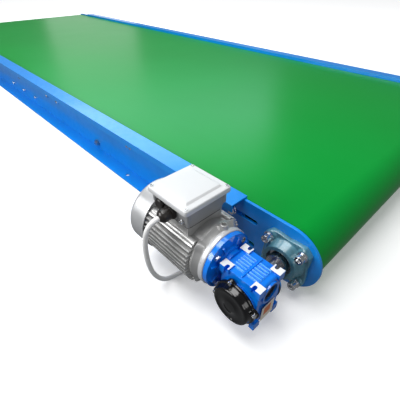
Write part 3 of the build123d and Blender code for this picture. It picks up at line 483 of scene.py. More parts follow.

# %% [markdown]
# The other finishes are named for what they cover.  The frame and the gearbox are two
# blues, and the gearbox's ribs are a lighter blue, a painted highlight on their crests.
# The bearings are a green grey cast iron, the motor is grey aluminium with patches of
# grime, and the lid, cowl, rim and milled pads are brighter.

# %% Finishes
FINISHES = {
    "frame_blue": painted("frame_blue", (0.0, 0.28, 0.87), 0.35, coat=0.6, coat_rough=0.12,
                          patch=0.06, grime=((0.01, 0.17, 0.55), 0.2), edge=0.0008),
    "gear_blue": painted("gear_blue", (0.0, 0.205, 0.88), 0.2, coat=0.6, coat_rough=0.06,
                         peel=0.00006, peel_scale=260, patch=0.18, patch_scale=30,
                         edge=0.0012),
    # painted highlight: the gearbox's cast blue made lighter, for the light on the rib crests
    "rib_blue_painted_highlight": painted("rib_blue_painted_highlight", (0.03, 0.33, 0.96), 0.24, coat=0.6, coat_rough=0.06,
                        patch=0.08, patch_scale=60, edge=0.0005),
    "galvanised": worked_metal("galvanised", (0.62, 0.64, 0.65), 0.35, (1, 1, 1), 90),
    "belt_green": belt_finish,
    "bearing_cast": painted("bearing_cast", (0.085, 0.25, 0.32), 0.3, coat=0.7,
                            peel=0.00008, peel_scale=320, patch=0.25, patch_scale=45,
                            edge=0.0014, grime=((0.03, 0.05, 0.06), 0.5)),
    "bearing_steel": worked_metal("bearing_steel", (0.55, 0.56, 0.58), 0.16, (1, 12, 1)),
    "fastener": worked_metal("fastener", (0.80, 0.81, 0.82), 0.2, (1, 1, 1), 400),
    "shaft_steel": worked_metal("shaft_steel", (0.56, 0.56, 0.57), 0.25, (1, 14, 1), 300),
    "roller_steel": worked_metal("roller_steel", (0.6, 0.61, 0.62), 0.3, (1, 14, 1), 300),
    "black_cover": moulded("black_cover", (0.002, 0.002, 0.0025), 0.13, coat=0.3, shine=0.45),
    "bronze": worked_metal("bronze", (0.72, 0.48, 0.24), 0.28, (1, 8, 1)),
    "worm_steel": worked_metal("worm_steel", (0.38, 0.38, 0.39), 0.25, (10, 1, 1)),
    "motor_grey": painted("motor_grey", (0.5, 0.5, 0.495), 0.35, coat=0.2,
                          metallic=0.5, peel=0.00005, peel_scale=500, patch=0.12,
                          patch_scale=20, grime=((0.15, 0.14, 0.13), 0.35)),
    "lamination": worked_metal("lamination", (0.28, 0.28, 0.29), 0.45, (40, 1, 1), 200),
    "fan_plastic": moulded("fan_plastic", (0.02, 0.02, 0.02), 0.45),
    "lid_grey": painted("lid_grey", (0.70, 0.71, 0.72), 0.36, coat=0.2, patch=0.03,
                        peel=0.00003, peel_scale=600, edge=0.0012),
    "box_grey": painted("box_grey", (0.30, 0.305, 0.31), 0.4, coat=0.1, patch=0.08,
                        peel=0.00004, peel_scale=600, edge=0),
    "cowl_silver": painted("cowl_silver", (0.6, 0.61, 0.62), 0.35, coat=0.25, metallic=0.5,
                           patch=0.05, patch_scale=6, peel=0.00003, peel_scale=600),
    "milled": painted("milled", (0.86, 0.87, 0.88), 0.45, coat=0.0, metallic=0.25,
                      patch=0.05, patch_scale=80, edge=0),
    "turned_rim": painted("turned_rim", (0.74, 0.75, 0.77), 0.32, coat=0.2, metallic=0.3,
                          patch=0.04, edge=0),
    "label": painted("label", (0.95, 0.86, 0.72), 0.4, coat=0.3, edge=0),
    "label_orange": painted("label_orange", (0.75, 0.16, 0.02), 0.4, coat=0.3, edge=0),
    "gasket": moulded("gasket", (0.012, 0.012, 0.012), 0.6),
    "gland": moulded("gland", (0.016, 0.013, 0.011), 0.35, coat=0.2),
    "cable_white": moulded("cable_white", (0.93, 0.93, 0.92), 0.36, grain=0.00003,
                           grain_scale=350, edge=0),
}

print("finishes", len(FINISHES))

# %% [markdown]
# Each CAD node takes the finish of its own slot, except the fan cowl, which is brighter
# than the motor it is on.

# %% Finishes on the CAD nodes
NODE_FINISH = {"fan_cowl": "cowl_silver"}
for subpart in record["subparts"]:
    node = bpy.data.objects[subpart["node"]]
    finish = NODE_FINISH.get(subpart["node"], subpart["material_slot"])
    for holder in node.material_slots:
        holder.material = FINISHES[finish]
print("nodes finished", len(record["subparts"]))

# %% [markdown]
# The floor is matt and nearly white.  Away from the machine it glows enough to be plain
# white, and near it the glow falls off: painted shade round the machine, which also lets
# the real soft shadow under the motor show.  A round gradient does this: it is 1 at its
# middle and 0 at its edge.

# %% Floor finish
FLOOR_SHADE, FLOOR_LIGHT = (0.9, 0.905, 0.91), (0.93, 0.93, 0.935)
GLOW_MIDDLE, GLOW_REACH = (0.9, -0.35, 0), 2.6
GLOW_AWAY, GLOW_NEAR, GLOW_FULL = 0.74, 0.20, 0.8


def floor_white():
    """White floor whose own light falls from GLOW_AWAY to GLOW_NEAR towards the machine, as painted
    shade.
    """
    made = Finish("studio_floor")
    made.set(Roughness=0.9, Specular_IOR_Level=0.1, Emission_Color=(1, 1, 1, 1))
    made.colour(made.blended(made.noise(0.7, 3), FLOOR_SHADE, FLOOR_LIGHT))
    place = made.node("ShaderNodeMapping", vector_type="TEXTURE")
    place.inputs["Location"].default_value = GLOW_MIDDLE
    place.inputs["Scale"].default_value = (GLOW_REACH, GLOW_REACH, GLOW_REACH)
    made.link(made.place, place.inputs["Vector"])
    nearness = made.node("ShaderNodeTexGradient", gradient_type="SPHERICAL")
    made.link(place.outputs["Vector"], nearness.inputs["Vector"])
    # painted shade: the floor's glow is lower near the machine
    glow = made.ranged(nearness.outputs["Fac"], GLOW_AWAY, GLOW_NEAR, 0.0, GLOW_FULL)
    made.link(glow, made.shader.inputs["Emission Strength"])
    return made.material


floor.data.materials.append(floor_white())
print("floor glow from", GLOW_NEAR, "to", GLOW_AWAY)

# %% [markdown]
# A new piece is worked out in its own flat axes, in mm.  Three unit rows then say where
# those axes point on the machine: up, to the near side, to the far side or to the drive
# end.  Its object stays at the origin, with its place in its mesh.

# %% Directions and places
UP = np.array([(1, 0, 0), (0, 1, 0), (0, 0, 1)], float)
TO_NEAR = np.array([(1, 0, 0), (0, 0, 1), (0, -1, 0)], float)
TO_FAR = np.array([(-1, 0, 0), (0, 0, 1), (0, 1, 0)], float)
TO_DRIVE = np.array([(0, 1, 0), (0, 0, 1), (1, 0, 0)], float)


def motor_point(x=0.0, y=0.0, z=0.0):
    """Point in metres from mm offsets off the drive axis and the gearbox's middle."""
    return np.array((DRIVE_X + x * MM, GEAR_Y + y * MM, AXIS_Z + z * MM))


def set_in(points, origin, axes):
    """Local mm points moved to an origin in metres, along three axis rows."""
    return np.asarray(origin) + (np.asarray(points) * MM) @ axes


print("gearbox middle", motor_point())

# %% [markdown]
# New pieces are shells: arrays of points and faces.  The faces of a grid are worked out
# from their row and column numbers, and the sign of the volume that they enclose says
# whether they point outwards.

# %% Closed grids
def outwards(points, faces):
    """Turns the faces round if the volume they enclose comes out negative."""
    total = 0.0
    for size in sorted({len(face) for face in faces}):
        loops = np.array([face for face in faces if len(face) == size])
        corners = points[loops]
        for index in range(1, size - 1):
            total += np.einsum("ij,ij->i", corners[:, 0], np.cross(
                corners[:, index], corners[:, index + 1])).sum()
    return (points, faces if total > 0 else [face[::-1] for face in faces])


def grid_faces(rows, columns, wrap_rows=False):
    """Quads of a grid whose columns close on themselves, as an array of indices."""
    row = np.arange(rows if wrap_rows else rows - 1)[:, None]
    column = np.arange(columns)[None, :]
    after, beside = (row + 1) % rows, (column + 1) % columns
    return np.stack([row * columns + column, row * columns + beside,
                     after * columns + beside, after * columns + column], -1).reshape(-1, 4)


print("a closed grid of 3 by 4 has", len(grid_faces(3, 4, wrap_rows=True)), "faces")

# %% [markdown]
# A shell is either an outline stacked at several heights, each a little larger or smaller
# than the last, or a profile turned round an axis.  Both could be extruded and bevelled
# instead, but a list of levels gives rounded edges and drafts of exact size.

# %% Stacked and turned shells
def stacked(outline, levels, origin, axes=UP):
    """Outline(grow) is a closed ring of (u, v) points; levels are (height, grow) pairs."""
    rings = []
    for height, grow in levels:
        ring = outline(grow)
        rings.append(np.c_[ring, np.full(len(ring), height)])
    points = np.concatenate(rings)
    columns = len(rings[0])
    faces = [tuple(face) for face in grid_faces(len(rings), columns)]
    last = (len(rings) - 1) * columns
    faces += [tuple(range(columns))[::-1], tuple(range(last, last + columns))]
    return outwards(set_in(points, origin, axes), faces)


def turned(profile, origin, axes=UP, steps=64, bulge=None, bore=False):
    """(height, radius) profile turned round the third axis; bulge(angle, rows) adds radius.

    With a bore the profile closes on itself, and without one its two ends are capped.
    """
    profile = np.array(profile, float)
    angle = np.arange(steps) * 2 * np.pi / steps
    radius = profile[:, 1][:, None] + np.zeros(steps)
    if bulge is not None:
        radius = radius + bulge(angle, profile)
    points = np.stack([radius * np.cos(angle), radius * np.sin(angle),
                       np.repeat(profile[:, 0][:, None], steps, 1)], -1).reshape(-1, 3)
    faces = [tuple(face) for face in grid_faces(len(profile), steps, wrap_rows=bore)]
    if not bore:
        last = (len(profile) - 1) * steps
        faces += [tuple(range(steps))[::-1], tuple(range(last, last + steps))]
    return outwards(set_in(points, origin, axes), faces)


sample = turned([(0, 5), (8, 5)], (0, 0, 0))
print("a turned cylinder has", len(sample[0]), "points and", len(sample[1]), "faces")

# %% [markdown]
# Outlines are functions of how much they should grow, so one outline serves all levels of
# a stack.  Corners are arcs, which catch light as real edges do.

# %% Outlines
SMALLEST_CORNER = 0.3


def round_box(width, depth, radius, steps=6):
    """Outline of a rectangle with round corners: four quarter circles joined in order."""
    def outline(grow):
        half = np.array((width / 2 + grow, depth / 2 + grow))
        corner = max(SMALLEST_CORNER, radius + grow)
        turn = np.linspace(0, np.pi / 2, steps)
        quarter = np.stack([np.cos(turn), np.sin(turn)], -1) * corner
        rings = []
        for count, sign in enumerate(((1, 1), (-1, 1), (-1, -1), (1, -1))):
            cos, sin = ((1, 0), (0, 1), (-1, 0), (0, -1))[count]
            turned_quarter = quarter @ np.array(((cos, sin), (-sin, cos)))
            rings.append(np.array(sign) * (half - corner) + turned_quarter)
        return np.concatenate(rings)
    return outline


def round_polygon(sides, across, radius, steps=5):
    """Outline of a regular polygon whose corners are small arcs."""
    def outline(grow):
        apothem = across / 2 + grow
        rings = []
        for corner in range(sides):
            angle = (corner + 0.5) * 2 * np.pi / sides
            middle = (apothem - radius) / math.cos(math.pi / sides)
            sweep = angle + np.linspace(-np.pi / sides, np.pi / sides, steps)
            rings.append(middle * np.array((math.cos(angle), math.sin(angle)))
                         + radius * np.stack([np.cos(sweep), np.sin(sweep)], -1))
        return np.concatenate(rings)
    return outline


def fixed_outline(points):
    """Outline that is the same at every height, whatever it is asked to grow."""
    return lambda grow: np.array(points, float)


print("a round box outline has", len(round_box(40, 30, 4)(0)), "points")

# %% [markdown]
# A piece may be several shells in one mesh.  It gets its finish, the body that it rides
# on and the CAD nodes that it stands for, which are hidden.  Edges sharper than an angle
# stay sharp, and the rest is shaded smooth.

# %% From shells to a piece
def shown(name, shells, finish, body=None, nodes=(), sharp=35):
    """One Blender object from shells, with its finish, body and replaced CAD nodes."""
    points, faces, start = [], [], 0
    for shell_points, shell_faces in shells:
        points.append(shell_points)
        faces += [tuple(int(i) + start for i in face) for face in shell_faces]
        start += len(shell_points)
    mesh = bpy.data.meshes.new(name)
    mesh.from_pydata(np.concatenate(points).tolist(), [], faces)
    mesh.polygons.foreach_set("use_smooth", np.ones(len(faces), bool))
    mesh.set_sharp_from_angle(angle=math.radians(sharp))
    mesh.materials.append(FINISHES[finish])
    mesh.update()
    piece = bpy.data.objects.new(name, mesh)
    bpy.context.scene.collection.objects.link(piece)
    if body:
        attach(piece, body)
    if nodes:
        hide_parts(*nodes)
    print(name, len(faces), "faces")
    return piece


print("smooth pieces keep edges sharper than", shown.__defaults__[-1], "degrees")

# %% [markdown]
# The terminal box is a drawn metal tray with a slight draft and a screw pillar in each
# corner.  A bevelled cube would do for it, but a stack of outlines gives the draft too.

# %% Terminal box
BOX_X, BOX_Y, BOX_BASE, BOX_HEIGHT = -141, -3, 95.5, 34.0
BOX_WIDTH, BOX_DEPTH, BOX_CORNER = 88, 86, 7
PILLAR_X, PILLAR_Y, PILLAR_SIZE, PILLAR_CORNER = 41, 40, 9, 3.5
BOX_LEVELS = [(0, -4.2), (0.4, -3.2), (7, -2.8), (8.6, -1.4), (10, -1.0), (32.2, -0.2), (34, -0.1)]
PILLAR_LEVELS = [(12, -2.5), (14, -0.4), (34, 0)]
box_origin = motor_point(BOX_X, BOX_Y, BOX_BASE)
box_body = stacked(round_box(BOX_WIDTH, BOX_DEPTH, BOX_CORNER), BOX_LEVELS, box_origin)
box_pillars = [stacked(round_box(PILLAR_SIZE, PILLAR_SIZE, PILLAR_CORNER), PILLAR_LEVELS,
                       box_origin + np.array((side_x * PILLAR_X, side_y * PILLAR_Y, 0)) * MM)
               for side_x in (-1, 1) for side_y in (-1, 1)]
shown("box_body", [box_body, *box_pillars], "box_grey", "frame", ["terminal_box"])

# %% [markdown]
# The lid has rolled edges and a raised middle panel with bevelled sides, and a black seal
# shows as a thin line under it.

# %% Terminal lid and seal
LID_WIDTH, LID_DEPTH, LID_CORNER = 98, 102, 5.5
SEAL_WIDTH, SEAL_DEPTH = 89, 88
LID_LEVELS = [(0.2, -1.0), (0.6, -0.3), (1.5, 0), (8.2, -0.35), (9.3, -0.8), (9.85, -1.6),
              (10, -2.6), (10, -11), (10.05, -11.7), (10.3, -12.0), (12.5, -14.6),
              (12.85, -15.2), (12.95, -16.2)]
lid_origin = motor_point(BOX_X, BOX_Y, BOX_BASE + BOX_HEIGHT)
lid_shell = stacked(round_box(LID_WIDTH, LID_DEPTH, LID_CORNER), LID_LEVELS, lid_origin)
shown("box_lid", [lid_shell], "lid_grey", "frame", ["terminal_lid"])
seal = stacked(round_box(SEAL_WIDTH, SEAL_DEPTH, BOX_CORNER), [(-1.3, 0), (0.2, 0)], lid_origin)
shown("box_seal", [seal], "gasket", "frame")

# %% [markdown]
# The cable gland is black nylon: a body with a hexagon, and a domed nut with grip ribs
# that squeezes the seal on the cable.  A flat round plug closes the other hole.  The ribs
# are a ripple on the nut's radius, so they need no pieces of their own.

# %% Cable gland and plug
GLAND_X, PLUG_X, GLAND_Z = -136, -163, 113
BOX_FACE = BOX_Y - BOX_DEPTH / 2
HEX_ACROSS, HEX_CORNER = 23.6, 1.6
GRIP_RIBS, GRIP_RISE, GRIP_START, GRIP_END = 12, 0.55, 10, 20
HEX_LEVELS = [(-1, -0.8), (0, -0.5), (0.6, 0), (5.4, 0), (6, -0.6)]
DOME_PROFILE = [(5.5, 10), (8.6, 10.2), (9, 11), (9.6, 11.4), (19.5, 11.1), (21.4, 10.6),
                (23.4, 9.2), (25, 7.2), (25.6, 6.2), (25.9, 5.6), (26.8, 5.3), (26.9, 4.6)]
PLUG_PROFILE = [(-1, 8), (0, 8), (0.1, 11), (0.8, 11.6), (4.6, 11.4), (6.0, 10.6), (6.8, 9.0),
                (6.9, 7.2), (6.2, 6.6), (6.1, 2)]


def dome_ribs(angle, profile):
    """Added radius: GRIP_RISE times max(0, cos 12 a) to the power 0.7, on the grip only."""
    ripple = np.maximum(0, np.cos(GRIP_RIBS * angle)) ** 0.7
    along = (profile[:, 0] > GRIP_START) & (profile[:, 0] < GRIP_END)
    return GRIP_RISE * along[:, None] * ripple


gland_origin = motor_point(GLAND_X, BOX_FACE, GLAND_Z)
plug_origin = motor_point(PLUG_X, BOX_FACE, GLAND_Z)
gland_hex = stacked(round_polygon(6, HEX_ACROSS, HEX_CORNER), HEX_LEVELS, gland_origin, TO_NEAR)
gland_dome = turned(DOME_PROFILE, gland_origin, TO_NEAR, steps=72, bulge=dome_ribs)
plug_round = turned(PLUG_PROFILE, plug_origin, TO_NEAR)
shown("gland_nuts", [gland_hex, gland_dome], "gland", "frame", ["cable_gland"])
shown("plug", [plug_round], "gland", "frame", ["blanking_plug"])

# %% [markdown]
# The gearbox's output cover is a glossy black moulding: a thin flange with four screw
# lugs, a round-shouldered drum on it, and a dished centre.  The lugs are bumps added to
# the turned radius, each a narrow bell round its own angle.

# %% Output cover
COVER_FACE = 31.5
LUG_TURN, LUG_WIDTH, LUG_REACH, FLANGE_TOP = math.radians(15), math.radians(9.0), 7.0, 5.6
COVER_PROFILE = [(0.05, 39.2), (0.5, 40), (4.4, 40), (5.0, 39.6), (5.2, 38.8), (5.3, 37.6),
                 (5.6, 36.9), (6.4, 36.4), (12.6, 35.3), (14.6, 34.9), (16.0, 34.0),
                 (16.8, 32.6), (16.95, 30.8), (16.8, 28.4), (15.9, 27.8), (15.7, 27),
                 (15.7, 12), (16.1, 11.4), (16.2, 10)]


def cover_lugs(angle, profile):
    """Added radius on the flange: LUG_REACH times (1.35 - gap / LUG_WIDTH) to the power 0.6.

    The gap is the angle to the nearest of the four lugs, and the bracket is kept from 0
    to 1, so each lug has a flat top and rounded flanks.
    """
    apart = np.abs((angle - LUG_TURN + np.pi / 4) % (np.pi / 2) - np.pi / 4)
    bell = LUG_REACH * np.clip(1.35 - apart / LUG_WIDTH, 0, 1) ** 0.6
    flange = profile[:, 0] < FLANGE_TOP
    return flange[:, None] * bell


cover_origin = motor_point(0, -COVER_FACE, 0)
cover_shell = turned(COVER_PROFILE, cover_origin, TO_NEAR, steps=160, bulge=cover_lugs)
shown("cover_moulding", [cover_shell], "black_cover", "frame", ["output_cover"])

# %% [markdown]
# The gearbox casting is painted all over, then its feet pads are milled, so they show
# bare aluminium.  Painting the pads as a mask would need the casting unwrapped, so each
# pad gets a thin bright skin instead, with the open screw slot cut in its outline.

# %% Milled pads
PAD_IN_X, PAD_OUT_X, PAD_IN_Y, PAD_OUT_Y = 21.3, 39.7, 16.8, 31.2
SLOT_X, SLOT_Y, SLOT_R, SLOT_STEPS = 27, 26.4, 3.35, 9
PAD_Z, PAD_SKIN = 57, 0.12


def pad_outline(side_x, side_y):
    """Rectangle with a U slot open to the side, mirrored for each corner.

    The slot's end is centre + SLOT_R (cos a, -sin a), for a from 0 to half a turn.
    """
    turn = np.linspace(0, np.pi, SLOT_STEPS)
    slot = np.stack([SLOT_X + SLOT_R * np.cos(turn), SLOT_Y - SLOT_R * np.sin(turn)], -1)
    square = [(PAD_IN_X, PAD_OUT_Y), (PAD_IN_X, PAD_IN_Y), (PAD_OUT_X, PAD_IN_Y),
              (PAD_OUT_X, PAD_OUT_Y), (SLOT_X + SLOT_R, PAD_OUT_Y)]
    ring = np.concatenate([square, slot, [(SLOT_X - SLOT_R, PAD_OUT_Y)]])
    ring = ring * (side_x, side_y)
    return ring if side_x * side_y > 0 else ring[::-1]


pads = [stacked(fixed_outline(pad_outline(side_x, side_y)), [(0.0, 0), (PAD_SKIN, 0)],
                motor_point(0, 0, PAD_Z)) for side_x in (-1, 1) for side_y in (-1, 1)]
shown("milled_pads", pads, "milled", "frame")

# %% [markdown]
# Two rows of low cast ribs stiffen the top of the gearbox between its feet.  They are
# small round-ended boxes, repeated by a loop at an even pitch.  Their blue is lighter than
# the casting's: a painted highlight for the light on their crests.

# %% Casting ribs
RIB_PITCH, RIB_ROWS, RIB_X, RIB_Z = 6.2, 6, 14, 54
RIB_LENGTH, RIB_WIDTH, RIB_CORNER = 23.4, 2.7, 1.3
RIB_LEVELS = [(0, 0.2), (0.6, 0.0), (2.0, -0.1), (2.6, -0.4), (2.9, -0.9)]
middle_row = (RIB_ROWS - 1) / 2
ribs = [stacked(round_box(RIB_LENGTH, RIB_WIDTH, RIB_CORNER), RIB_LEVELS,
                motor_point(x, (row - middle_row) * RIB_PITCH, RIB_Z))
        for x in (-RIB_X, RIB_X) for row in range(RIB_ROWS)]
shown("casting_ribs", ribs, "rib_blue_painted_highlight", "frame")

# %% [markdown]
# A rating label sits on the gearbox's end face.  It is left blank, as a thin cream skin
# with a plain orange panel, each a little proud of what it is stuck on.

# %% Blank label
LABEL_WIDTH, LABEL_HEIGHT, LABEL_CORNER = 32, 36, 1.5
PANEL_WIDTH, PANEL_HEIGHT, PANEL_CORNER = 18, 19, 1
label_origin = motor_point(40, 0, -13)
panel_origin = label_origin + np.array((0, -1, 4)) * MM
label = stacked(round_box(LABEL_WIDTH, LABEL_HEIGHT, LABEL_CORNER), [(0, 0), (0.25, 0)],
                label_origin, TO_DRIVE)
panel = stacked(round_box(PANEL_WIDTH, PANEL_HEIGHT, PANEL_CORNER), [(0.2, 0), (0.35, 0)],
                panel_origin, TO_DRIVE)
shown("blank_label", [label], "label", "frame")
shown("label_panel", [panel], "label_orange", "frame")

# %% [markdown]
# An earth screw with its washer sits beside the gland.  Both are short turned profiles.

# %% Earth screw
SCREW_X, SCREW_Z = -112, 106
WASHER_PROFILE = [(-0.5, 5.6), (0, 5.8), (1.2, 5.8), (1.4, 5.2)]
HEAD_PROFILE = [(1.2, 3.8), (3.4, 3.8), (4.2, 3.2), (4.4, 2.0)]
screw_origin = motor_point(SCREW_X, BOX_FACE, SCREW_Z)
earth_screw = [turned(profile, screw_origin, TO_NEAR) for profile in (WASHER_PROFILE, HEAD_PROFILE)]
shown("earth_screw", earth_screw, "fastener", "frame")

# %% [markdown]
# The lead ends in three bare cores with crimped ferrules, ready for a switch.  They lie
# round the lead's own line, so their axes are made from its last heading.

# %% Lead ends
CORE_PLACES = ((-2.1, -1.1), (0, 2.1), (2.1, -1.1))
CORE_PROFILE = [(-2, 1.5), (13, 1.5), (13.4, 1.2)]
FERRULE_PROFILE = [(12.6, 1.9), (15, 1.7), (15.4, 1.0), (22, 1.0), (22.3, 0.7)]
lead_end = np.array(route[-1])
lead_heading = lead_end - np.array(route[-2])
lead_heading /= np.linalg.norm(lead_heading)
across = np.cross(lead_heading, UP[2])
lead_axes = np.stack([across, UP[2], lead_heading])
cores, ferrules = [], []
for aside, lift in CORE_PLACES:
    start = lead_end + (across * aside + UP[2] * lift) * MM
    cores.append(turned(CORE_PROFILE, start, lead_axes, steps=20))
    ferrules.append(turned(FERRULE_PROFILE, start, lead_axes, steps=20))
lead_cores = shown("lead_cores", cores, "gland", "frame")
lead_ferrules = shown("lead_ferrules", ferrules, "fastener", "frame")

# %% [markdown]
# Each flange bearing is a casting that can be written as one height over a square with
# rounded corners: a hub cone round the bore, four ribs running to the bolt bosses, and
# the flat flange.  The height is the largest of these at each place, eased where they
# meet.  The grid runs round the bore and out to the edge.

# %% Bearing castings
FLANGE_HALF, FLANGE_T, CORNER_R, SEAT_R = 47.5, 8.6, 60.2, 26.2
HUB_TOP, BOSS_TOP, BOLT_PLACE, RIB_TOP, RIB_CLEAR, FILLET = 27.0, 13.2, 35, 25.0, 8, 0.7
CAST_STEPS, CAST_RINGS = 160, 34


def eased_max(values, width):
    """Largest v of several heights, eased: v + width times log of the sum of exp(gap / width)."""
    values = np.stack(values)
    top = values.max(0)
    return top + width * np.log(np.exp((values - top) / width).sum(0))


def casting_reach(angle):
    """Radius of the outline: a square of half FLANGE_HALF whose corners are cut at CORNER_R.

    The corner's radius is CORNER_R - 1.5 d^0.4, where d is the size of sin 2a, and the
    middle of each side is drawn in by 2.2 (1 - d)^2.
    """
    diagonal = np.abs(np.sin(2 * angle))
    square = FLANGE_HALF * (1 / np.maximum(np.abs(np.cos(angle)), np.abs(np.sin(angle))))
    return np.minimum(square, CORNER_R - 1.5 * diagonal ** 0.4) - 2.2 * (1 - diagonal) ** 2


def casting_height(x, y, radius, share):
    """Height over the flange's back: the eased largest of hub, bosses, ribs and flange.

    Hub and bosses are flat tops that fall off along cones.  A rib falls with its distance
    from the bore and from the diagonal.  The flange dips at its edge.
    """
    hub = np.clip(HUB_TOP - np.maximum(0, radius - 34) * 2.3, 0, HUB_TOP)
    boss_gap = np.hypot(np.abs(x) - BOLT_PLACE, np.abs(y) - BOLT_PLACE)
    boss = np.where(boss_gap < 13.5, BOSS_TOP - np.maximum(0, boss_gap - 11.3) * 3.0, 0)
    aside = np.minimum(np.abs(x - y), np.abs(x + y)) / math.sqrt(2)
    rib = (RIB_TOP - np.maximum(0, radius - 30) * 0.55) - np.maximum(0, aside - 2.0) * 3.4
    rib = np.where(np.abs(x) > RIB_CLEAR, rib, 0)
    flange = FLANGE_T - np.maximum(0, share - 0.965) * 26 + np.zeros_like(x)
    height = eased_max([hub, boss, np.clip(rib, 0, 30), flange], FILLET)
    return np.minimum(height, HUB_TOP)


def bearing_casting(origin, axes):
    """Grid from the bore to the edge, closed by a foot ring and the wall of the seat."""
    angle = np.arange(CAST_STEPS) * 2 * np.pi / CAST_STEPS
    share = np.linspace(0, 1, CAST_RINGS)[:, None] ** 0.9
    radius = SEAT_R + (casting_reach(angle) - SEAT_R) * share
    x, y = radius * np.cos(angle), radius * np.sin(angle)
    height = casting_height(x, y, radius, share)
    top = np.stack([x, y, height], -1)
    edge = np.stack([x[-1] * 1.004, y[-1] * 1.004, np.full(CAST_STEPS, 1.0)], -1)[None]
    foot = np.stack([x[-1], y[-1], np.zeros(CAST_STEPS)], -1)[None]
    seat = np.stack([x[0], y[0], np.zeros(CAST_STEPS)], -1)[None]
    lip = np.stack([x[0], y[0], height[0] - 0.2], -1)[None]
    points = np.concatenate([lip, top[1:], edge, foot, seat]).reshape(-1, 3)
    faces = [tuple(face) for face in grid_faces(CAST_RINGS + 3, CAST_STEPS, wrap_rows=True)]
    return outwards(set_in(points, origin, axes), faces)


for end, end_x in (("drive", DRIVE_X), ("tail", -DRIVE_X)):
    for side, axes, side_y in (("near", TO_NEAR, PLATE_Y), ("far", TO_FAR, -PLATE_Y)):
        casting = bearing_casting((end_x, side_y, AXIS_Z), axes)
        shown(f"{end}_casting_{side}", [casting], "bearing_cast",
              "frame" if end == "drive" else "take_up", [f"{end}_bearing_{side}"], sharp=50)

# %% [markdown]
# The motor's front shield is turned too: a bright ring beside the gearbox flange, a
# cone out to the body, and four screw lugs.

# %% Motor front shield
SHIELD_LUG_WIDTH, CONE_FOOT_R = math.radians(8), 50
LUG_ALONG, LUG_RISE = [0, 3, 6, 12], [0, 6.2, 7.2, 0]
SHIELD_BACK = -84
SHIELD_PROFILE = [(0.02, 44), (0.02, 57), (0.6, 57.8), (4.5, 58), (5.6, 57.2), (7, 56),
                  (14, 52.2), (15.2, 51.8), (16, 52.4), (16.6, 53.6), (17.4, 54),
                  (25.6, 54), (26.4, 53.6), (26.95, 52.8), (26.95, 16), (15, 16), (15, 38)]
RIM_PROFILE = [(17.2, 53), (17.4, 54.3), (18.2, 54.7), (25.6, 54.7), (26.4, 54.2), (26.9, 53.2)]


def shield_lugs(angle, profile):
    """Added radius: a rise along the cone times exp(-(gap / width)^4) round each diagonal."""
    apart = np.abs((angle + np.pi / 2) % (np.pi / 2) - np.pi / 4)
    bell = np.exp(-(apart / SHIELD_LUG_WIDTH) ** 4)
    rise = np.interp(profile[:, 0], LUG_ALONG, LUG_RISE)
    return rise[:, None] * bell * (profile[:, 1] > CONE_FOOT_R)[:, None]


worm_axis = np.array((DRIVE_X, GEAR_Y, MOTOR_Z))
shield_origin = worm_axis + np.array((SHIELD_BACK, 0, 0)) * MM
shield = turned(SHIELD_PROFILE, shield_origin, TO_DRIVE, steps=180, bulge=shield_lugs, bore=True)
shown("shield_casting", [shield], "motor_grey", "frame", ["motor_front_shield"])
rim = turned(RIM_PROFILE, shield_origin, TO_DRIVE, steps=120, bore=True)
shown("shield_rim", [rim], "turned_rim", "frame")

# %% [markdown]
# The lifting lug on top of the shield is a short round post with a deep countersunk hole.
# It leans back a little, so its own axes are turned about X.

# %% Lifting lug
LUG_X, LUG_Y, LUG_Z = -71, 8, 50
LEAN_COS, LEAN_SIN = 0.99, 0.14
LUG_PROFILE = [(0, 8.5), (9.5, 7.6), (11.2, 7.0), (11.8, 6.0), (11.9, 4.2), (6.0, 3.4), (5.9, 1.0)]
lug_foot = worm_axis + np.array((LUG_X, LUG_Y, LUG_Z)) * MM
lug_axes = np.array([(1, 0, 0), (0, LEAN_COS, -LEAN_SIN), (0, LEAN_SIN, LEAN_COS)], float)
lug = turned(LUG_PROFILE, lug_foot, lug_axes, steps=40)
shown("shield_lug", [lug], "motor_grey", "frame")

# %% [markdown]
# The belt is one closed loop.  Its middle line is worked out from the drums and the snub
# rollers: straight runs joined by arcs, one half of it mirrored for the other.

# %% Belt line
DRUM_R, BELT_T, SNUB_R, FIT = 59.0, 2.0, 20.0, 0.3
TOP_STEPS, DRUM_STEPS, SLOPE_STEPS, SNUB_STEPS, UNDER_STEPS = 90, 60, 14, 12, 50
snub_low, snub_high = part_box("return_roller_4")
SNUB_X = (snub_low[0] + snub_high[0]) / 2 / MM
SNUB_Z = (snub_low[2] + snub_high[2]) / 2 / MM
drum_x, axis_z = DRIVE_X / MM, AXIS_Z / MM


def arc(middle, radius, start, stop, steps):
    """Points of middle + radius (cos a, sin a), for a from start to stop."""
    turn = np.linspace(start, stop, steps)
    return np.stack([middle[0] + radius * np.cos(turn), middle[1] + radius * np.sin(turn)], -1)


def straight(start, stop, steps):
    """Even points between two places, without the places themselves."""
    share = np.linspace(0, 1, steps + 2)[1:-1, None]
    return np.array(start) * (1 - share) + np.array(stop) * share


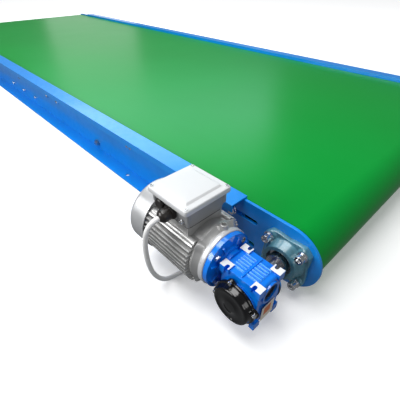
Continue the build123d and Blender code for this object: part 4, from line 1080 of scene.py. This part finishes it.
def belt_loop():
    """Middle line of the belt as (x, z) in mm, clockwise from the middle of the top run.

    Between drum and snub roller it runs along their crossed tangent, whose normal is
    turned from the line of centres by the angle whose cosine is the sum of the radii over
    the distance.
    """
    outer = DRUM_R + FIT + BELT_T / 2
    under = SNUB_R + FIT + BELT_T / 2
    reach = math.hypot(SNUB_X - drum_x, SNUB_Z - axis_z)
    heading = math.atan2(SNUB_Z - axis_z, SNUB_X - drum_x)
    normal = heading + math.acos((outer + under) / reach)
    leave = (drum_x + outer * math.cos(normal), axis_z + outer * math.sin(normal))
    meet = (SNUB_X - under * math.cos(normal), SNUB_Z - under * math.sin(normal))
    half = np.concatenate([
        straight((0, axis_z + outer), (drum_x, axis_z + outer), TOP_STEPS),
        arc((drum_x, axis_z), outer, math.pi / 2, normal, DRUM_STEPS),
        straight(leave, meet, SLOPE_STEPS),
        arc((SNUB_X, SNUB_Z), under, normal + math.pi, math.pi / 2, SNUB_STEPS),
        straight((SNUB_X, SNUB_Z + under), (0, SNUB_Z + under), UNDER_STEPS)])
    return np.concatenate([half, half[::-1] * (-1, 1)])


belt_line = belt_loop()
print("belt line", len(belt_line), "points")

# %% [markdown]
# A flat section with rounded edges is carried along that line.

# %% Belt
BELT_HALF, EDGE_IN, EDGE_FLAT, ACROSS_STEPS = 500.0, 0.7, 0.4, 24


def belt_shell(line):
    """Each point of the line plus the section's height along the line's own normal."""
    tangent = np.roll(line, -1, 0) - np.roll(line, 1, 0)
    tangent /= np.linalg.norm(tangent, axis=1)[:, None]
    normal = np.stack([-tangent[:, 1], tangent[:, 0]], -1)
    skin, flat = BELT_T / 2, BELT_HALF - EDGE_IN
    over = np.linspace(-flat, flat, ACROSS_STEPS)
    section = np.concatenate([
        np.stack([over, np.full(ACROSS_STEPS, skin)], -1),
        [(BELT_HALF, EDGE_FLAT), (BELT_HALF, -EDGE_FLAT), (flat, -skin), (0, -skin),
         (-flat, -skin), (-BELT_HALF, -EDGE_FLAT), (-BELT_HALF, EDGE_FLAT)]])
    x = line[:, 0][:, None] + normal[:, 0][:, None] * section[:, 1]
    z = line[:, 1][:, None] + normal[:, 1][:, None] * section[:, 1]
    points = np.stack([x, np.broadcast_to(section[:, 0], x.shape), z], -1).reshape(-1, 3)
    faces = [tuple(face) for face in grid_faces(len(line), len(section), wrap_rows=True)]
    return outwards(points * MM, faces)


belt = shown("belt_cover", [belt_shell(belt_line)], "belt_green", nodes=["conveyor_belt"])
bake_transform(belt)

# %% [markdown]
# The cable gets its sheath, rides on the frame and stands for both cable solids.

# %% Cable finish and body
cable.data.materials.append(FINISHES["cable_white"])
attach(cable, "frame")
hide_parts("supply_cable", "cable_coil")
print("cord leaves at", route[0])
